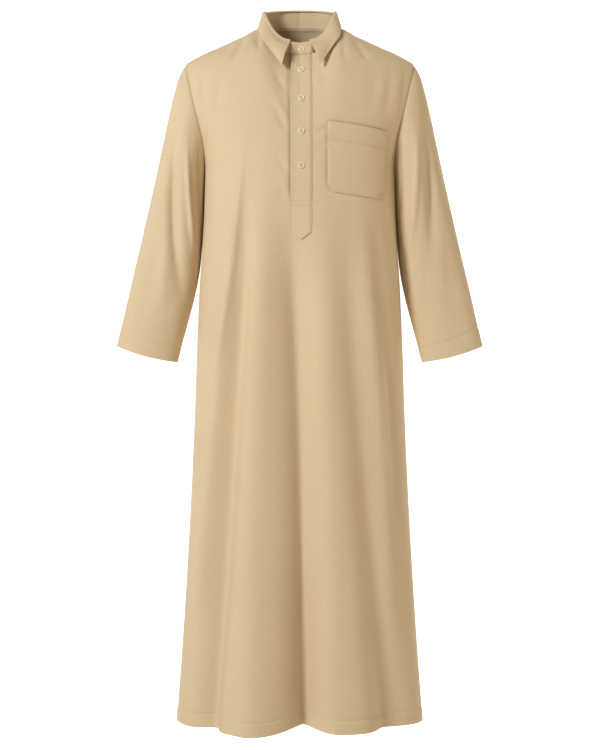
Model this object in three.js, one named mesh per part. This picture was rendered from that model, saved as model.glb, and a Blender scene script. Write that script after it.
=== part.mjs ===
// A man's thobe in its worn form: a long straight robe with a shirt collar, a buttoned half placket,
// a chest pocket and plain sleeves. Each cut piece of cloth is a thin wall of its own.
//
// Frame: millimetres, +Z up, the front faces -Y, and +X is the wearer's left. The origin lies between the
// shoulders, at the height where the shoulder meets the neck. Every length is in millimetres.

import * as THREE from 'three';

// ---------------------------------------------------------------- driving dimensions

const WALL = 1.6; // thickness of every cloth wall
const SEAM = 0.3; // space between two pieces at a seam
const REST = 0.7; // space between a piece and the piece that it lies on
const CHEST = -290; // height of the underarm, where the armhole ends
const HEM = -1375; // height of the hem at the side seams
const HEM_LIFT = 8; // how far the hem rises at the middle of the front
const HEM_LIFT_WIDE = 42; // half the width over which it rises
const HEM_LIFT_TOP = -1150; // height below which the cloth follows it
const NECK_WIDTH = 76; // half the width of the neck opening at the shoulder
const SHOULDER_WIDTH = 224; // half the width from armhole to armhole at the shoulder
const YOKE_SEAM = -112; // height of the yoke seam across the back
const ARMHOLE_CUT = 0.11; // share of the half section that the armhole takes away
const ARMHOLE_RUN = 150; // height above the underarm over which it does so

// The body's horizontal sections: half width, reach to the front and the back of the side seam, and the
// exponent of the superellipse (2 is an ellipse, and more is squarer).
const BODY = [
  { height: HEM, halfWidth: 244, front: 166, back: 160, square: 1.8 },
  { height: -1238, halfWidth: 234, front: 160, back: 154, square: 1.84 },
  { height: -1118, halfWidth: 226, front: 155, back: 149, square: 1.88 },
  { height: -998, halfWidth: 219, front: 150, back: 144, square: 1.92 },
  { height: -878, halfWidth: 213, front: 145, back: 138, square: 1.97 },
  { height: -758, halfWidth: 208, front: 140, back: 132, square: 2.02 },
  { height: -638, halfWidth: 204, front: 135, back: 125, square: 2.07 },
  { height: -518, halfWidth: 199, front: 130, back: 118, square: 2.12 },
  { height: -440, halfWidth: 194, front: 127, back: 114, square: 2.15 },
  { height: -378, halfWidth: 190.5, front: 125, back: 112, square: 2.18 },
  { height: CHEST, halfWidth: 188.5, front: 123, back: 111, square: 2.2 },
  { height: -255, halfWidth: 188.5, front: 123, back: 111, square: 2.2 },
  { height: -225, halfWidth: 191, front: 123, back: 111, square: 2.2 },
  { height: -193, halfWidth: 197.5, front: 123, back: 111, square: 2.2 },
  { height: -157, halfWidth: 206.5, front: 123, back: 111, square: 2.2 },
  { height: -117, halfWidth: 215.5, front: 123, back: 111, square: 2.2 },
  { height: -80, halfWidth: 223, front: 123, back: 111, square: 2.2 },
  { height: -60, halfWidth: SHOULDER_WIDTH, front: 123, back: 111, square: 2.2 },
];

// The arch over the shoulder, from the chest at the front to the same height at the back: how far it rises
// above the underarm, and the exponent of its superellipse. `across` runs from 0 in the middle to 1 at the
// armhole.
const ARCH = [
  { across: 0, frontRise: 265, backRise: 333, frontRound: 2, backRound: 3 },
  { across: 0.17, frontRise: 272, backRise: 325, frontRound: 2.1, backRound: 2.9 },
  { across: 0.34, frontRise: 291, backRise: 291, frontRound: 2.4, backRound: 2.6 },
  { across: 0.51, frontRise: 273.5, backRise: 273.5, frontRound: 2.5, backRound: 2.6 },
  { across: 0.71, frontRise: 253, backRise: 253, frontRound: 2.6, backRound: 2.6 },
  { across: 0.84, frontRise: 241, backRise: 241, frontRound: 2.6, backRound: 2.6 },
  { across: 1, frontRise: 223, backRise: 223, frontRound: 2.6, backRound: 2.6 },
];

// The largest folds of the front and of the back. `top` and `foot` are heights, `x` is the place across at the
// fold's top, middle and foot, `wide` its half width at top and foot, and `rise` how far it stands out there (a
// negative one lies in). A `skew` above 0 makes it that much wider towards -X, and narrower towards +X.
const FRONT_FOLDS = [
  { top: -200, foot: -1250, x: [-108, -160, -208], wide: [13, 15], rise: [6, 13], skew: 0.1 },
  { top: -280, foot: -1420, x: [-94, -132, -184], wide: [20, 23], rise: [-13, -26], skew: 0 },
  { top: -230, foot: -1420, x: [-72, -106, -128], wide: [30, 46], rise: [7, 13], skew: 0 },
  { top: -300, foot: -1420, x: [0, 14, 22], wide: [80, 100], rise: [-3, -18], skew: 0 },
  { top: -300, foot: -1420, x: [-40, -14, -6], wide: [36, 45], rise: [-16, -42], skew: 0 },
  { top: -420, foot: -1420, x: [-28, -8, 0], wide: [14, 18], rise: [-3, -8], skew: 0 },
  { top: -330, foot: -1420, x: [42, 54, 66], wide: [24, 30], rise: [5, 8], skew: 0 },
  { top: -330, foot: -1420, x: [86, 128, 182], wide: [38, 50], rise: [-12, -32], skew: -0.2 },
  { top: -330, foot: -1400, x: [112, 156, 196], wide: [18, 22], rise: [7, 11], skew: 0 },
  { top: -330, foot: -1250, x: [140, 176, 206], wide: [13, 17], rise: [-4, -5], skew: 0 },
];
const BACK_FOLDS = [
  { top: -260, foot: -1420, x: [92, 128, 168], wide: [22, 34], rise: [6, 14], skew: 0 },
  { top: -330, foot: -1420, x: [66, 82, 112], wide: [22, 34], rise: [-7, -22], skew: 0 },
  { top: -240, foot: -1420, x: [22, 34, 52], wide: [26, 42], rise: [7, 18], skew: 0 },
  { top: -300, foot: -1420, x: [-20, -14, -6], wide: [20, 34], rise: [-7, -26], skew: 0 },
  { top: -260, foot: -1420, x: [-58, -66, -72], wide: [24, 40], rise: [6, 16], skew: 0 },
  { top: -350, foot: -1420, x: [-98, -118, -140], wide: [22, 36], rise: [-7, -20], skew: 0 },
  { top: -420, foot: -1420, x: [-128, -160, -194], wide: [18, 26], rise: [5, 10], skew: 0 },
];

// The sleeve's sections, from just past the armhole to the cuff: its outer and inner edge as seen from the
// front, its half depth, and how far back its middle lies.
const SLEEVE = [
  { along: 0, outerX: 224, outerZ: -67, innerX: 189, innerZ: -290, halfDepth: 58, back: 0 },
  { along: 0.05, outerX: 238, outerZ: -90, innerX: 190.5, innerZ: -306, halfDepth: 60, back: 1 },
  { along: 0.12, outerX: 249, outerZ: -125, innerX: 191.5, innerZ: -326, halfDepth: 62, back: 3 },
  { along: 0.22, outerX: 261, outerZ: -174, innerX: 192.5, innerZ: -354, halfDepth: 63, back: 6 },
  { along: 0.34, outerX: 275, outerZ: -238, innerX: 194, innerZ: -392, halfDepth: 62, back: 9 },
  { along: 0.46, outerX: 290, outerZ: -306, innerX: 197.5, innerZ: -436, halfDepth: 59, back: 11 },
  { along: 0.58, outerX: 306, outerZ: -376, innerX: 202.5, innerZ: -484, halfDepth: 54, back: 11 },
  { along: 0.7, outerX: 322, outerZ: -447, innerX: 212.5, innerZ: -535, halfDepth: 48, back: 8 },
  { along: 0.82, outerX: 339, outerZ: -521, innerX: 225.5, innerZ: -586, halfDepth: 42, back: 3 },
  { along: 0.92, outerX: 352.5, outerZ: -584, innerX: 236.5, innerZ: -628, halfDepth: 37, back: -3 },
  { along: 1, outerX: 363, outerZ: -631, innerX: 245, innerZ: -662, halfDepth: 33, back: -8 },
];
const CUFF_DIP = 5; // how much lower the cuff hangs at its front and back than at its two edges

// The sleeve's largest folds. `around` is in degrees: 0 on the outside, 90 at the front, 180 on the inside.
const SLEEVE_FOLDS = [
  { from: 0.04, to: 0.62, aroundTop: 112, aroundFoot: 138, wide: 17, rise: -7 },
  { from: 0.1, to: 0.8, aroundTop: 78, aroundFoot: 108, wide: 16, rise: 4 },
  { from: 0.3, to: 0.98, aroundTop: 62, aroundFoot: 70, wide: 16, rise: -3 },
  { from: 0.05, to: 0.7, aroundTop: 248, aroundFoot: 226, wide: 18, rise: -7 },
  { from: 0.2, to: 0.95, aroundTop: 282, aroundFoot: 262, wide: 16, rise: 4 },
];

// The neckline's angle up and over the shoulder arch, from the middle of the front (0) to the middle of the
// back (180).
const NECKLINE = [
  { around: 0, over: 59.6 },
  { around: 14, over: 59.3 },
  { around: 27, over: 59 },
  { around: 40, over: 60.8 },
  { around: 52, over: 65 },
  { around: 66, over: 72.5 },
  { around: 90, over: 88.4 },
  { around: 120, over: 103 },
  { around: 150, over: 113.6 },
  { around: 180, over: 117.3 },
];

// The collar's height above the neckline, and how far its top leans in, round the same way.
const STAND = [
  { around: 0, height: 23, lean: 1 },
  { around: 14, height: 23.9, lean: 1.5 },
  { around: 27, height: 25.6, lean: 2 },
  { around: 40, height: 26.5, lean: 1.5 },
  { around: 50, height: 27.6, lean: 1 },
  { around: 60, height: 30.2, lean: 1.5 },
  { around: 70, height: 31, lean: 3.2 },
  { around: 80, height: 31.2, lean: 5.2 },
  { around: 92, height: 33, lean: 6.5 },
  { around: 106, height: 36.4, lean: 7 },
  { around: 125, height: 38.4, lean: 6.5 },
  { around: 150, height: 34.2, lean: 5 },
  { around: 180, height: 34, lean: 4 },
];
const UNDER_END = 10; // how far past the middle the lower end of the stand reaches, in degrees
const OVER_END = 13; // and its upper end, the other way
const LAP_LIFT = 2.4; // how far the upper end lies outside the lower one
const LAP_FROM = 42; // angle before the middle from which the collar's one side moves out for it
const LAP_FULL = 8; // and at which it has done so
const STAND_GAP = 0.45; // space between the neckline and the stand
const END_ROUND = 5; // the stand's upper end is rounded over this angle
const END_DROP = 0.3; // by this share of its height
const END_SAG = 5; // how far the upper end hangs down
const END_SAG_FROM = 2; // from this angle past the middle
const END_SAG_FULL = 14; // and all of it from this one
const END_SAG_OUT = 0.85; // how far it moves out as it hangs, as a share of that

// The collar leaf's outer edge, on the body: the place across and over the shoulder arch, and its height
// above the cloth. It starts with the point at the front.
const LEAF = [
  { around: 14, across: 0.168, over: 46.6, lift: 4.4 },
  { around: 26, across: 0.216, over: 48.9, lift: 4.2 },
  { around: 40, across: 0.262, over: 51.4, lift: 4 },
  { around: 56, across: 0.318, over: 56, lift: 3.8 },
  { around: 70, across: 0.35, over: 62.5, lift: 3.6 },
  { around: 84, across: 0.358, over: 75, lift: 3.4 },
  { around: 98, across: 0.357, over: 93, lift: 3.4 },
  { around: 116, across: 0.318, over: 110, lift: 3.8 },
  { around: 140, across: 0.196, over: 120.5, lift: 4.2 },
  { around: 180, across: 0, over: 125, lift: 4.2 },
];
const POINT_SPREAD = 0.026; // how much further out the point over the upper end lies, as a share across
const POINT_SPREAD_TO = 48; // and the angle round at which the two sides are alike

const PLACKET = { left: -17.5, right: 23.5, corners: -413, tip: -428 };
const UNDER_PLACKET = { left: -27, right: 27, foot: -372 };
const OPENING = { left: -0.062, right: 0.098, foot: -345 }; // the cut in the front: across, and its lowest point
const POCKET = {
  left: 52, rightTop: 169, rightFoot: 160, topLeft: -200, topRight: -213.5, footLeft: -337, footRight: -346,
  clip: 13, clipShare: 0.11,
};
const BUTTON = { across: 2.8, radius: 6.1, thick: 2.6, rim: 1.3, dish: 0.9, bevel: 0.4, sides: 14 };
const BUTTON_OFF = 0.8; // space between a button and the placket
const COLLAR_BUTTON_OFF = 0.4; // and between the top button and the stand
const BUTTON_HEIGHTS = [-97, -155, -220, -286];
const COLLAR_BUTTON_UP = 0.42; // how far up the stand the top button sits, as a share of its height

// How many strips each grid of points has.
const COUNT = {
  frontHalf: 15, backHalf: 11, upper: 10, lower: 10, backUpper: 5, sleeve: 11,
  yokeRows: 6, yokeShoulder: 5, yokeNeck: 6, fall: 11, placket: 14, underPlacket: 12, pocket: 7,
};

const CLOTH_COLOUR = 0xd6bd95;
const CLOTH = { color: CLOTH_COLOUR, roughness: 0.78, metalness: 0 };
const HORN = { color: 0xcdb88f, roughness: 0.4, metalness: 0 };

// ---------------------------------------------------------------- small helpers

const RIGHT_ANGLE = 90;
const FULL_TURN = 360;
const radians = (degrees) => (degrees * Math.PI) / 180;
const degrees = (radian) => (radian * 180) / Math.PI;
const clamp = (value, low, high) => Math.min(high, Math.max(low, value));
const mix = (from, to, share) => from + (to - from) * share;
const steps = (count) => Array.from({ length: count + 1 }, (_, i) => i / count);

// A smooth step from 0 at `from` to 1 at `to`.
function ease(from, to, value) {
  const share = clamp((value - from) / (to - from), 0, 1);
  return share * share * (3 - 2 * share);
}

// One column of a table, read between its rows on a smooth curve. The rows rise along `key`.
function read(table, key, at, column) {
  const last = table.length - 1;
  const place = clamp(at, table[0][key], table[last][key]);
  let i = 0;
  while (i < last - 1 && table[i + 1][key] < place) i += 1;
  const span = table[i + 1][key] - table[i][key];
  const share = (place - table[i][key]) / span;
  const slope = (j) => {
    const low = Math.max(j - 1, 0);
    const high = Math.min(j + 1, last);
    return (table[high][column] - table[low][column]) / (table[high][key] - table[low][key]);
  };
  const [square, cube] = [share ** 2, share ** 3];
  return (
    table[i][column] * (2 * cube - 3 * square + 1) +
    slope(i) * span * (cube - 2 * square + share) +
    table[i + 1][column] * (3 * square - 2 * cube) +
    slope(i + 1) * span * (cube - square)
  );
}

// ---------------------------------------------------------------- the body's surface

const FOLD_GROWS = 0.25; // share of its length over which a fold grows
const FOLD_FADES = 0.2; // and over which one that ends above the hem fades
const FOLD_SIDE = 0.8; // place across from which the folds fade towards the side seam

// How far the folds move the cloth out at a place across and a height.
function foldRise(folds, x, height) {
  let total = 0;
  for (const fold of folds) {
    const run = (fold.top - height) / (fold.top - fold.foot);
    if (run <= 0 || run >= 1) continue;
    const [atTop, atMiddle, atFoot] = fold.x;
    const bow = 2 * atMiddle - (atTop + atFoot) / 2;
    const middle = mix(mix(atTop, bow, run), mix(bow, atFoot, run), run);
    const away = (x - middle) / (mix(...fold.wide, run) * (1 - fold.skew * Math.sign(x - middle)));
    const faded = fold.foot > HEM ? ease(1, 1 - FOLD_FADES, run) : 1;
    total += mix(...fold.rise, run ** 2) * ease(0, FOLD_GROWS, run) * faded * Math.exp(-away * away);
  }
  return total;
}

const bodyAt = (height, column) => read(BODY, 'height', height, column);

// A point of the body below the underarm. `across` runs from -1 to 1 between the side seams.
function lowerBody(isFront, across, height) {
  const [wide, square] = [bodyAt(height, 'halfWidth'), bodyAt(height, 'square')];
  const deep = bodyAt(height, isFront ? 'front' : 'back');
  const side = Math.abs(across);
  const reach = Math.max(0, 1 - side ** square) ** (1 / square);
  const out = new THREE.Vector2((Math.sign(across) * side ** (square - 1)) / wide, reach ** (square - 1) / deep);
  const x = across * wide;
  const rise = foldRise(isFront ? FRONT_FOLDS : BACK_FOLDS, x, height) * ease(1, FOLD_SIDE, side);
  out.normalize().multiplyScalar(rise);
  const y = deep * reach + out.y;
  return new THREE.Vector3(x + out.x, isFront ? -y : y, height);
}

// A point of the body above the underarm. `over` is the angle of the arch: 0 at the front of the chest, 90 on
// the shoulder ridge and 180 at the back.
function upperBody(across, over) {
  const isFront = over < RIGHT_ANGLE;
  const side = Math.abs(across);
  const round = read(ARCH, 'across', side, isFront ? 'frontRound' : 'backRound');
  const rise = read(ARCH, 'across', side, isFront ? 'frontRise' : 'backRise');
  const height = CHEST + rise * Math.sin(radians(over)) ** (2 / round);
  const square = bodyAt(height, 'square');
  const kept = 1 - ARMHOLE_CUT * ease(CHEST, CHEST + ARMHOLE_RUN, height);
  const reach = Math.max(0, 1 - (side * kept) ** square) ** (1 / square);
  const depth = bodyAt(height, isFront ? 'front' : 'back') * reach * Math.abs(Math.cos(radians(over))) ** (2 / round);
  return new THREE.Vector3(across * bodyAt(height, 'halfWidth'), isFront ? -depth : depth, height);
}

// The angle of the arch where it passes a height, at the front or at the back.
function overAt(across, height, isFront) {
  const side = Math.abs(across);
  const round = read(ARCH, 'across', side, isFront ? 'frontRound' : 'backRound');
  const rise = read(ARCH, 'across', side, isFront ? 'frontRise' : 'backRise');
  const angle = degrees(Math.asin(clamp((height - CHEST) / rise, 0, 1) ** (round / 2)));
  return isFront ? angle : 2 * RIGHT_ANGLE - angle;
}

// The front's surface at a place across, in millimetres, and a height.
function frontAt(x, height) {
  const across = x / bodyAt(height, 'halfWidth');
  return height < CHEST ? lowerBody(true, across, height) : upperBody(across, overAt(across, height, true));
}

// A direction out of a surface that is given by two numbers, from its slopes over two short steps.
function outward(surface, a, b, stepA, stepB) {
  const alongA = surface(a + stepA, b).sub(surface(a - stepA, b));
  const alongB = surface(a, b + stepB).sub(surface(a, b - stepB));
  return alongA.cross(alongB).normalize();
}

const STEP = 2; // a short step on the front's surface
const ACROSS_STEP = 0.004; // a short step across
const OVER_STEP = 0.5; // and over the arch, in degrees
const frontOut = (x, height) => outward(frontAt, x, height, STEP, STEP);

// The direction out of the upper body. It is never taken at the arch's very ends.
function upperOut(across, over) {
  return outward(upperBody, across, clamp(over, OVER_STEP, 2 * RIGHT_ANGLE - OVER_STEP), ACROSS_STEP, OVER_STEP);
}

// A point above the body: its place across and over the arch, and its height above the cloth.
function aboveBody(across, over, lift) {
  return upperBody(across, over).addScaledVector(upperOut(across, over), lift);
}

// The neckline. `around` runs from 0 at the middle of the front to 180 at the middle of the back.
const neckAcross = NECK_WIDTH / SHOULDER_WIDTH;
const neckOver = (around) => read(NECKLINE, 'around', around, 'over');
const neckPoint = (around) => upperBody(neckAcross * Math.sin(radians(around)), neckOver(around));

// The seam of front and yoke runs before the shoulder ridge, and comes nearer to it towards the armhole.
const SEAM_BEFORE_RIDGE = { atNeck: 25, atArmhole: 9 };
const SEAM_TURN = 0.12; // how far the front stops short of it over the arch, in degrees
const SEARCH_FROM = 45; // the seam lies between this angle and a right angle, over the arch and round the neck
const HALVINGS = 30;

// The last angle, in steps from SEARCH_FROM to a right angle, at which a test still holds.
function lastAngle(holds) {
  let [low, high] = [SEARCH_FROM, RIGHT_ANGLE];
  for (let i = 0; i < HALVINGS; i += 1) {
    const middle = (low + high) / 2;
    if (holds(middle)) low = middle;
    else high = middle;
  }
  return low;
}

function seamOver(across) {
  const side = Math.abs(across);
  const { atNeck, atArmhole } = SEAM_BEFORE_RIDGE;
  const before = mix(atNeck, atArmhole, (side - neckAcross) / (1 - neckAcross));
  return lastAngle((over) => -upperBody(side, over).y > before);
}

// Where the neckline meets that seam, a little inside its widest place.
const SEAM_AT_NECK = 0.97;
const seamAtNeck = seamOver(neckAcross * SEAM_AT_NECK);
const neckAround = lastAngle((around) => neckOver(around) < seamAtNeck);
const neckEdge = neckAcross * Math.sin(radians(neckAround));

// ---------------------------------------------------------------- walls

// A closed wall on a grid of points, which are its outer face. `outs` are the directions out of the cloth.
// `isCut(row, column)` leaves cells away, and `isRing` joins the last column to the first.
function clothWall(points, outs, { isRing = false, isCut = () => false, thick = WALL } = {}) {
  const [rows, columns] = [points.length, points[0].length];
  const positions = [];
  points.forEach((row) => row.forEach((p) => positions.push(p.x, p.y, p.z)));
  points.forEach((row, i) => row.forEach((p, j) => {
    const q = p.clone().addScaledVector(outs[i][j], -thick);
    positions.push(q.x, q.y, q.z);
  }));
  const id = (i, j, inner) => (inner ? rows * columns : 0) + i * columns + (j % columns);
  const cells = isRing ? columns : columns - 1;
  const has = (i, j) => {
    if (i < 0 || i >= rows - 1) return false;
    if (!isRing && (j < 0 || j >= cells)) return false;
    return !isCut(i, (j + cells) % cells);
  };
  const faces = [];
  const quad = (a, b, c, d) => faces.push(a, b, c, a, c, d);
  for (let i = 0; i < rows - 1; i += 1) {
    for (let j = 0; j < cells; j += 1) {
      if (!has(i, j)) continue;
      quad(id(i, j), id(i + 1, j), id(i + 1, j + 1), id(i, j + 1));
      quad(id(i, j, true), id(i, j + 1, true), id(i + 1, j + 1, true), id(i + 1, j, true));
      if (!has(i - 1, j)) quad(id(i, j), id(i, j + 1), id(i, j + 1, true), id(i, j, true));
      if (!has(i + 1, j)) quad(id(i + 1, j + 1), id(i + 1, j), id(i + 1, j, true), id(i + 1, j + 1, true));
      if (!has(i, j - 1)) quad(id(i + 1, j), id(i, j), id(i, j, true), id(i + 1, j, true));
      if (!has(i, j + 1)) quad(id(i, j + 1), id(i + 1, j + 1), id(i + 1, j + 1, true), id(i, j + 1, true));
    }
  }
  const used = [...new Set(faces)];
  const renumbered = new Map(used.map((old, fresh) => [old, fresh]));
  const geometry = new THREE.BufferGeometry();
  const kept = used.flatMap((old) => positions.slice(3 * old, 3 * old + 3));
  geometry.setAttribute('position', new THREE.Float32BufferAttribute(kept, 3));
  geometry.setIndex(faces.map((old) => renumbered.get(old)));
  geometry.computeVertexNormals();
  return geometry;
}

// Directions out of a grid's cloth, from each point's neighbours. `sign` turns them over.
function gridOuts(points, isRing = false, sign = 1) {
  const [rows, columns] = [points.length, points[0].length];
  const at = (i, j) => {
    const column = isRing ? (j + columns) % columns : clamp(j, 0, columns - 1);
    return points[clamp(i, 0, rows - 1)][column];
  };
  return points.map((row, i) => row.map((_, j) => {
    const down = at(i + 1, j).clone().sub(at(i - 1, j));
    const along = at(i, j + 1).clone().sub(at(i, j - 1));
    return down.cross(along).normalize().multiplyScalar(sign);
  }));
}

const thobe = new THREE.Group();

function addPiece(name, geometry, look = CLOTH) {
  const mesh = new THREE.Mesh(geometry, new THREE.MeshStandardMaterial(look));
  mesh.name = name;
  thobe.add(mesh);
  return mesh;
}

// ---------------------------------------------------------------- front and back

const ACROSS_BEND = 1.1; // above 1 the columns lie less close together at the sides
const FRONT_ROWS_BEND = 1.25; // above 1 the front's rows lie closer together near its top
const CUT_SLACK = 1; // the front's opening ends at a row of points, found within this height

// Places across from one edge of a panel to another, closer together where the section turns round.
function acrossSteps(from, to, count) {
  const angle = (across) => Math.asin(Math.sign(across) * Math.abs(across) ** ACROSS_BEND);
  return steps(count).map((share) => {
    const sine = Math.sin(mix(angle(from), angle(to), share));
    return Math.sign(sine) * Math.abs(sine) ** (1 / ACROSS_BEND);
  });
}

// The heights of the rows below the underarm, down to the hem. Two of them end the opening in the front.
const lowerHeights = [
  mix(CHEST, OPENING.foot, 0.5),
  OPENING.foot,
  ...steps(COUNT.lower).map((share) => mix(PLACKET.corners, HEM, share)),
];

// The direction out of a panel near the side seam has no part along Y, so that front and back meet squarely.
function squareAtSides(outs) {
  for (const row of outs) {
    for (const j of [0, row.length - 1]) row[j].setY(0).normalize();
  }
}

// How far the front's hem rises at a place across.
const hemLift = (x) => HEM_LIFT * Math.exp(-((x / HEM_LIFT_WIDE) ** 2));

function makeFront() {
  const columns = [
    ...acrossSteps(-1, OPENING.left, COUNT.frontHalf),
    ...acrossSteps(OPENING.right, 1, COUNT.frontHalf),
  ];
  const top = columns.map((across) => {
    const side = Math.abs(across);
    if (side >= neckEdge) return seamOver(across) - SEAM_TURN;
    return neckOver(degrees(Math.asin(side / neckAcross)));
  });
  const points = [];
  const outs = [];
  for (const share of steps(COUNT.upper)) {
    const overs = columns.map((across, j) => {
      if (share === 0) return top[j];
      return overAt(across, mix(upperBody(across, top[j]).z, CHEST, share ** FRONT_ROWS_BEND), true);
    });
    points.push(columns.map((across, j) => upperBody(across, overs[j])));
    outs.push(columns.map((across, j) => upperOut(across, overs[j])));
  }
  for (const height of lowerHeights) {
    const lift = ease(HEM_LIFT_TOP, HEM, height);
    points.push(columns.map((across) => {
      const point = lowerBody(true, across, height);
      return point.setZ(point.z + hemLift(point.x) * lift);
    }));
  }
  const drawn = gridOuts(points);
  for (let i = outs.length; i < points.length; i += 1) outs.push(drawn[i]);
  squareAtSides(outs.slice(COUNT.upper));
  points.forEach((row) => row.forEach((point) => point.setY(point.y - SEAM / 2)));
  const isCut = (row, column) => column === COUNT.frontHalf && points[row + 1][column].z > OPENING.foot - CUT_SLACK;
  addPiece('front', clothWall(points, outs, { isCut }));
  return { points, outs, columns };
}

function makeBack() {
  const columns = acrossSteps(-1, 1, 2 * COUNT.backHalf);
  const points = [];
  const outs = [];
  for (const share of steps(COUNT.backUpper)) {
    const overs = columns.map((across) => mix(overAt(across, YOKE_SEAM, false), 180, share));
    points.push(columns.map((across, j) => upperBody(across, overs[j])));
    outs.push(columns.map((across, j) => upperOut(across, overs[j])));
  }
  points[0].forEach((point) => point.setZ(point.z - SEAM));
  for (const height of lowerHeights) points.push(columns.map((across) => lowerBody(false, across, height)));
  const drawn = gridOuts(points, false, -1);
  for (let i = outs.length; i < points.length; i += 1) outs.push(drawn[i]);
  squareAtSides(outs.slice(COUNT.backUpper));
  points.forEach((row) => row.forEach((point) => point.setY(point.y + SEAM / 2)));
  const mirrored = (grid) => grid.map((row) => [...row].reverse());
  addPiece('back', clothWall(mirrored(points), mirrored(outs)));
  return { points, outs, columns };
}

// ---------------------------------------------------------------- yoke

// The yoke runs from the front seam and the neckline, over the shoulders, to the seam across the back.
const YOKE_CORNER = 0.48; // place across, on the lower seam, of the column that starts where front and neck meet
function makeYoke() {
  const shoulder = steps(COUNT.yokeShoulder).map((share) => {
    const across = mix(1, neckEdge, share);
    return { across, over: seamOver(across), foot: mix(1, YOKE_CORNER, share) };
  });
  const neck = steps(COUNT.yokeNeck).slice(1).map((share) => {
    const around = mix(neckAround, 180, share);
    const across = neckAcross * Math.sin(radians(around));
    return { across, over: neckOver(around), foot: mix(YOKE_CORNER, 0, share) };
  });
  const half = [...shoulder, ...neck];
  const otherHalf = half.slice(0, -1).reverse();
  const line = [...half, ...otherHalf.map((c) => ({ ...c, across: -c.across, foot: -c.foot }))];
  const points = [];
  const outs = [];
  for (const share of steps(COUNT.yokeRows)) {
    const places = line.map((c) => {
      const footOver = overAt(c.foot, YOKE_SEAM, false);
      return [mix(c.across, c.foot, share), mix(c.over, footOver, share)];
    });
    points.push(places.map(([across, over]) => upperBody(across, over)));
    outs.push(places.map(([across, over]) => upperOut(across, over)));
  }
  points.forEach((row) => row.forEach((point) => point.setY(point.y + SEAM / 2)));
  addPiece('yoke', clothWall(points, outs));
  return { points, outs };
}

// ---------------------------------------------------------------- sleeves

const SLEEVE_OFF = 0.45; // space between the armhole's edge and the sleeve, across
const SLEEVE_CLEAR = 1.2; // space between a hanging sleeve and the body's side
const SLEEVE_BESIDE = { full: 120, none: 160 }; // how far before or behind the side that space is kept
const SLEEVE_BLEND = 0.3; // share of its length over which it leaves the armhole's shape
const SLEEVE_ROWS_BEND = 1.15; // above 1 the rings lie closer together near the armhole
const CUFF_FROM = 0.7; // share of its length from which the ring dips

// A sleeve's surface at a share of its length and an angle around it, for the wearer's left.
function sleeveAt(along, around) {
  const at = (column) => read(SLEEVE, 'along', along, column);
  const outer = new THREE.Vector3(at('outerX'), at('back'), at('outerZ'));
  const inner = new THREE.Vector3(at('innerX'), at('back'), at('innerZ'));
  const half = outer.clone().sub(inner).multiplyScalar(0.5);
  let rise = 0;
  for (const fold of SLEEVE_FOLDS) {
    const run = (along - fold.from) / (fold.to - fold.from);
    if (run <= 0 || run >= 1) continue;
    const away = (around - mix(fold.aroundTop, fold.aroundFoot, run)) / fold.wide;
    rise += fold.rise * Math.sin(Math.PI * run) * Math.exp(-away * away);
  }
  const [cosine, sine] = [Math.cos(radians(around)), Math.sin(radians(around))];
  const point = outer.add(inner).multiplyScalar(0.5).addScaledVector(half, cosine * (1 + rise / half.length()));
  point.y -= sine * (at('halfDepth') + rise);
  point.z -= CUFF_DIP * sine * sine * ease(CUFF_FROM, 1, along);
  return point;
}

// A sleeve starts on the panels' own points round the armhole: up the front, over the yoke and down the back.
function makeSleeve(name, side, front, back, yoke) {
  const edge = (panel, rows) => panel.points.slice(0, rows).map((row) => (side > 0 ? row.at(-1) : row[0]));
  const yokeEdge = yoke.points.map((row) => (side > 0 ? row[0] : row.at(-1)));
  const loop = [
    ...edge(front, COUNT.upper + 1).reverse(),
    ...yokeEdge.slice(1, -1),
    ...edge(back, COUNT.backUpper).map((point) => point.clone()),
  ].map((point) => new THREE.Vector3(point.x * side, point.y, point.z));
  loop[0].y = 0;
  const { outerZ, innerZ, halfDepth } = SLEEVE[0];
  const around = loop.map((point) => {
    const up = (2 * point.z - outerZ - innerZ) / (outerZ - innerZ);
    return (degrees(Math.atan2(-point.y / halfDepth, up)) + FULL_TURN) % FULL_TURN;
  });
  around[0] = FULL_TURN / 2;
  const points = steps(COUNT.sleeve).map((share) => {
    const along = share ** SLEEVE_ROWS_BEND;
    return loop.map((start, j) => {
      const point = sleeveAt(along, around[j]);
      const off = start.clone().sub(sleeveAt(0, around[j])).multiplyScalar(ease(SLEEVE_BLEND, 0, along));
      point.add(off);
      const wall = bodyAt(point.z, 'halfWidth');
      const clear = along === 0 ? SLEEVE_OFF : SLEEVE_CLEAR;
      if (along === 0) point.x = start.x + SLEEVE_OFF;
      const beside = ease(SLEEVE_BESIDE.none, SLEEVE_BESIDE.full, Math.abs(point.y));
      point.x = Math.max(point.x, wall + clear * beside);
      return new THREE.Vector3(point.x * side, point.y, point.z);
    });
  });
  const outs = gridOuts(points, true, side);
  outs[0].forEach((out) => out.setX(side * Math.min(out.x * side, 0)).normalize());
  const turned = (grid) => (side > 0 ? grid : grid.map((row) => [...row].reverse()));
  addPiece(name, clothWall(turned(points), turned(outs), { isRing: true }));
}

// ---------------------------------------------------------------- collar

// How far the upper end's side of the collar lies outside the lower end's, at an angle before the middle.
const lapLift = (angle) => LAP_LIFT * ease(LAP_FROM, LAP_FULL, angle);

// How far the upper end hangs down, at an angle past the middle.
const endSag = (angle) => END_SAG * ease(END_SAG_FROM, END_SAG_FULL, angle);

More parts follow.
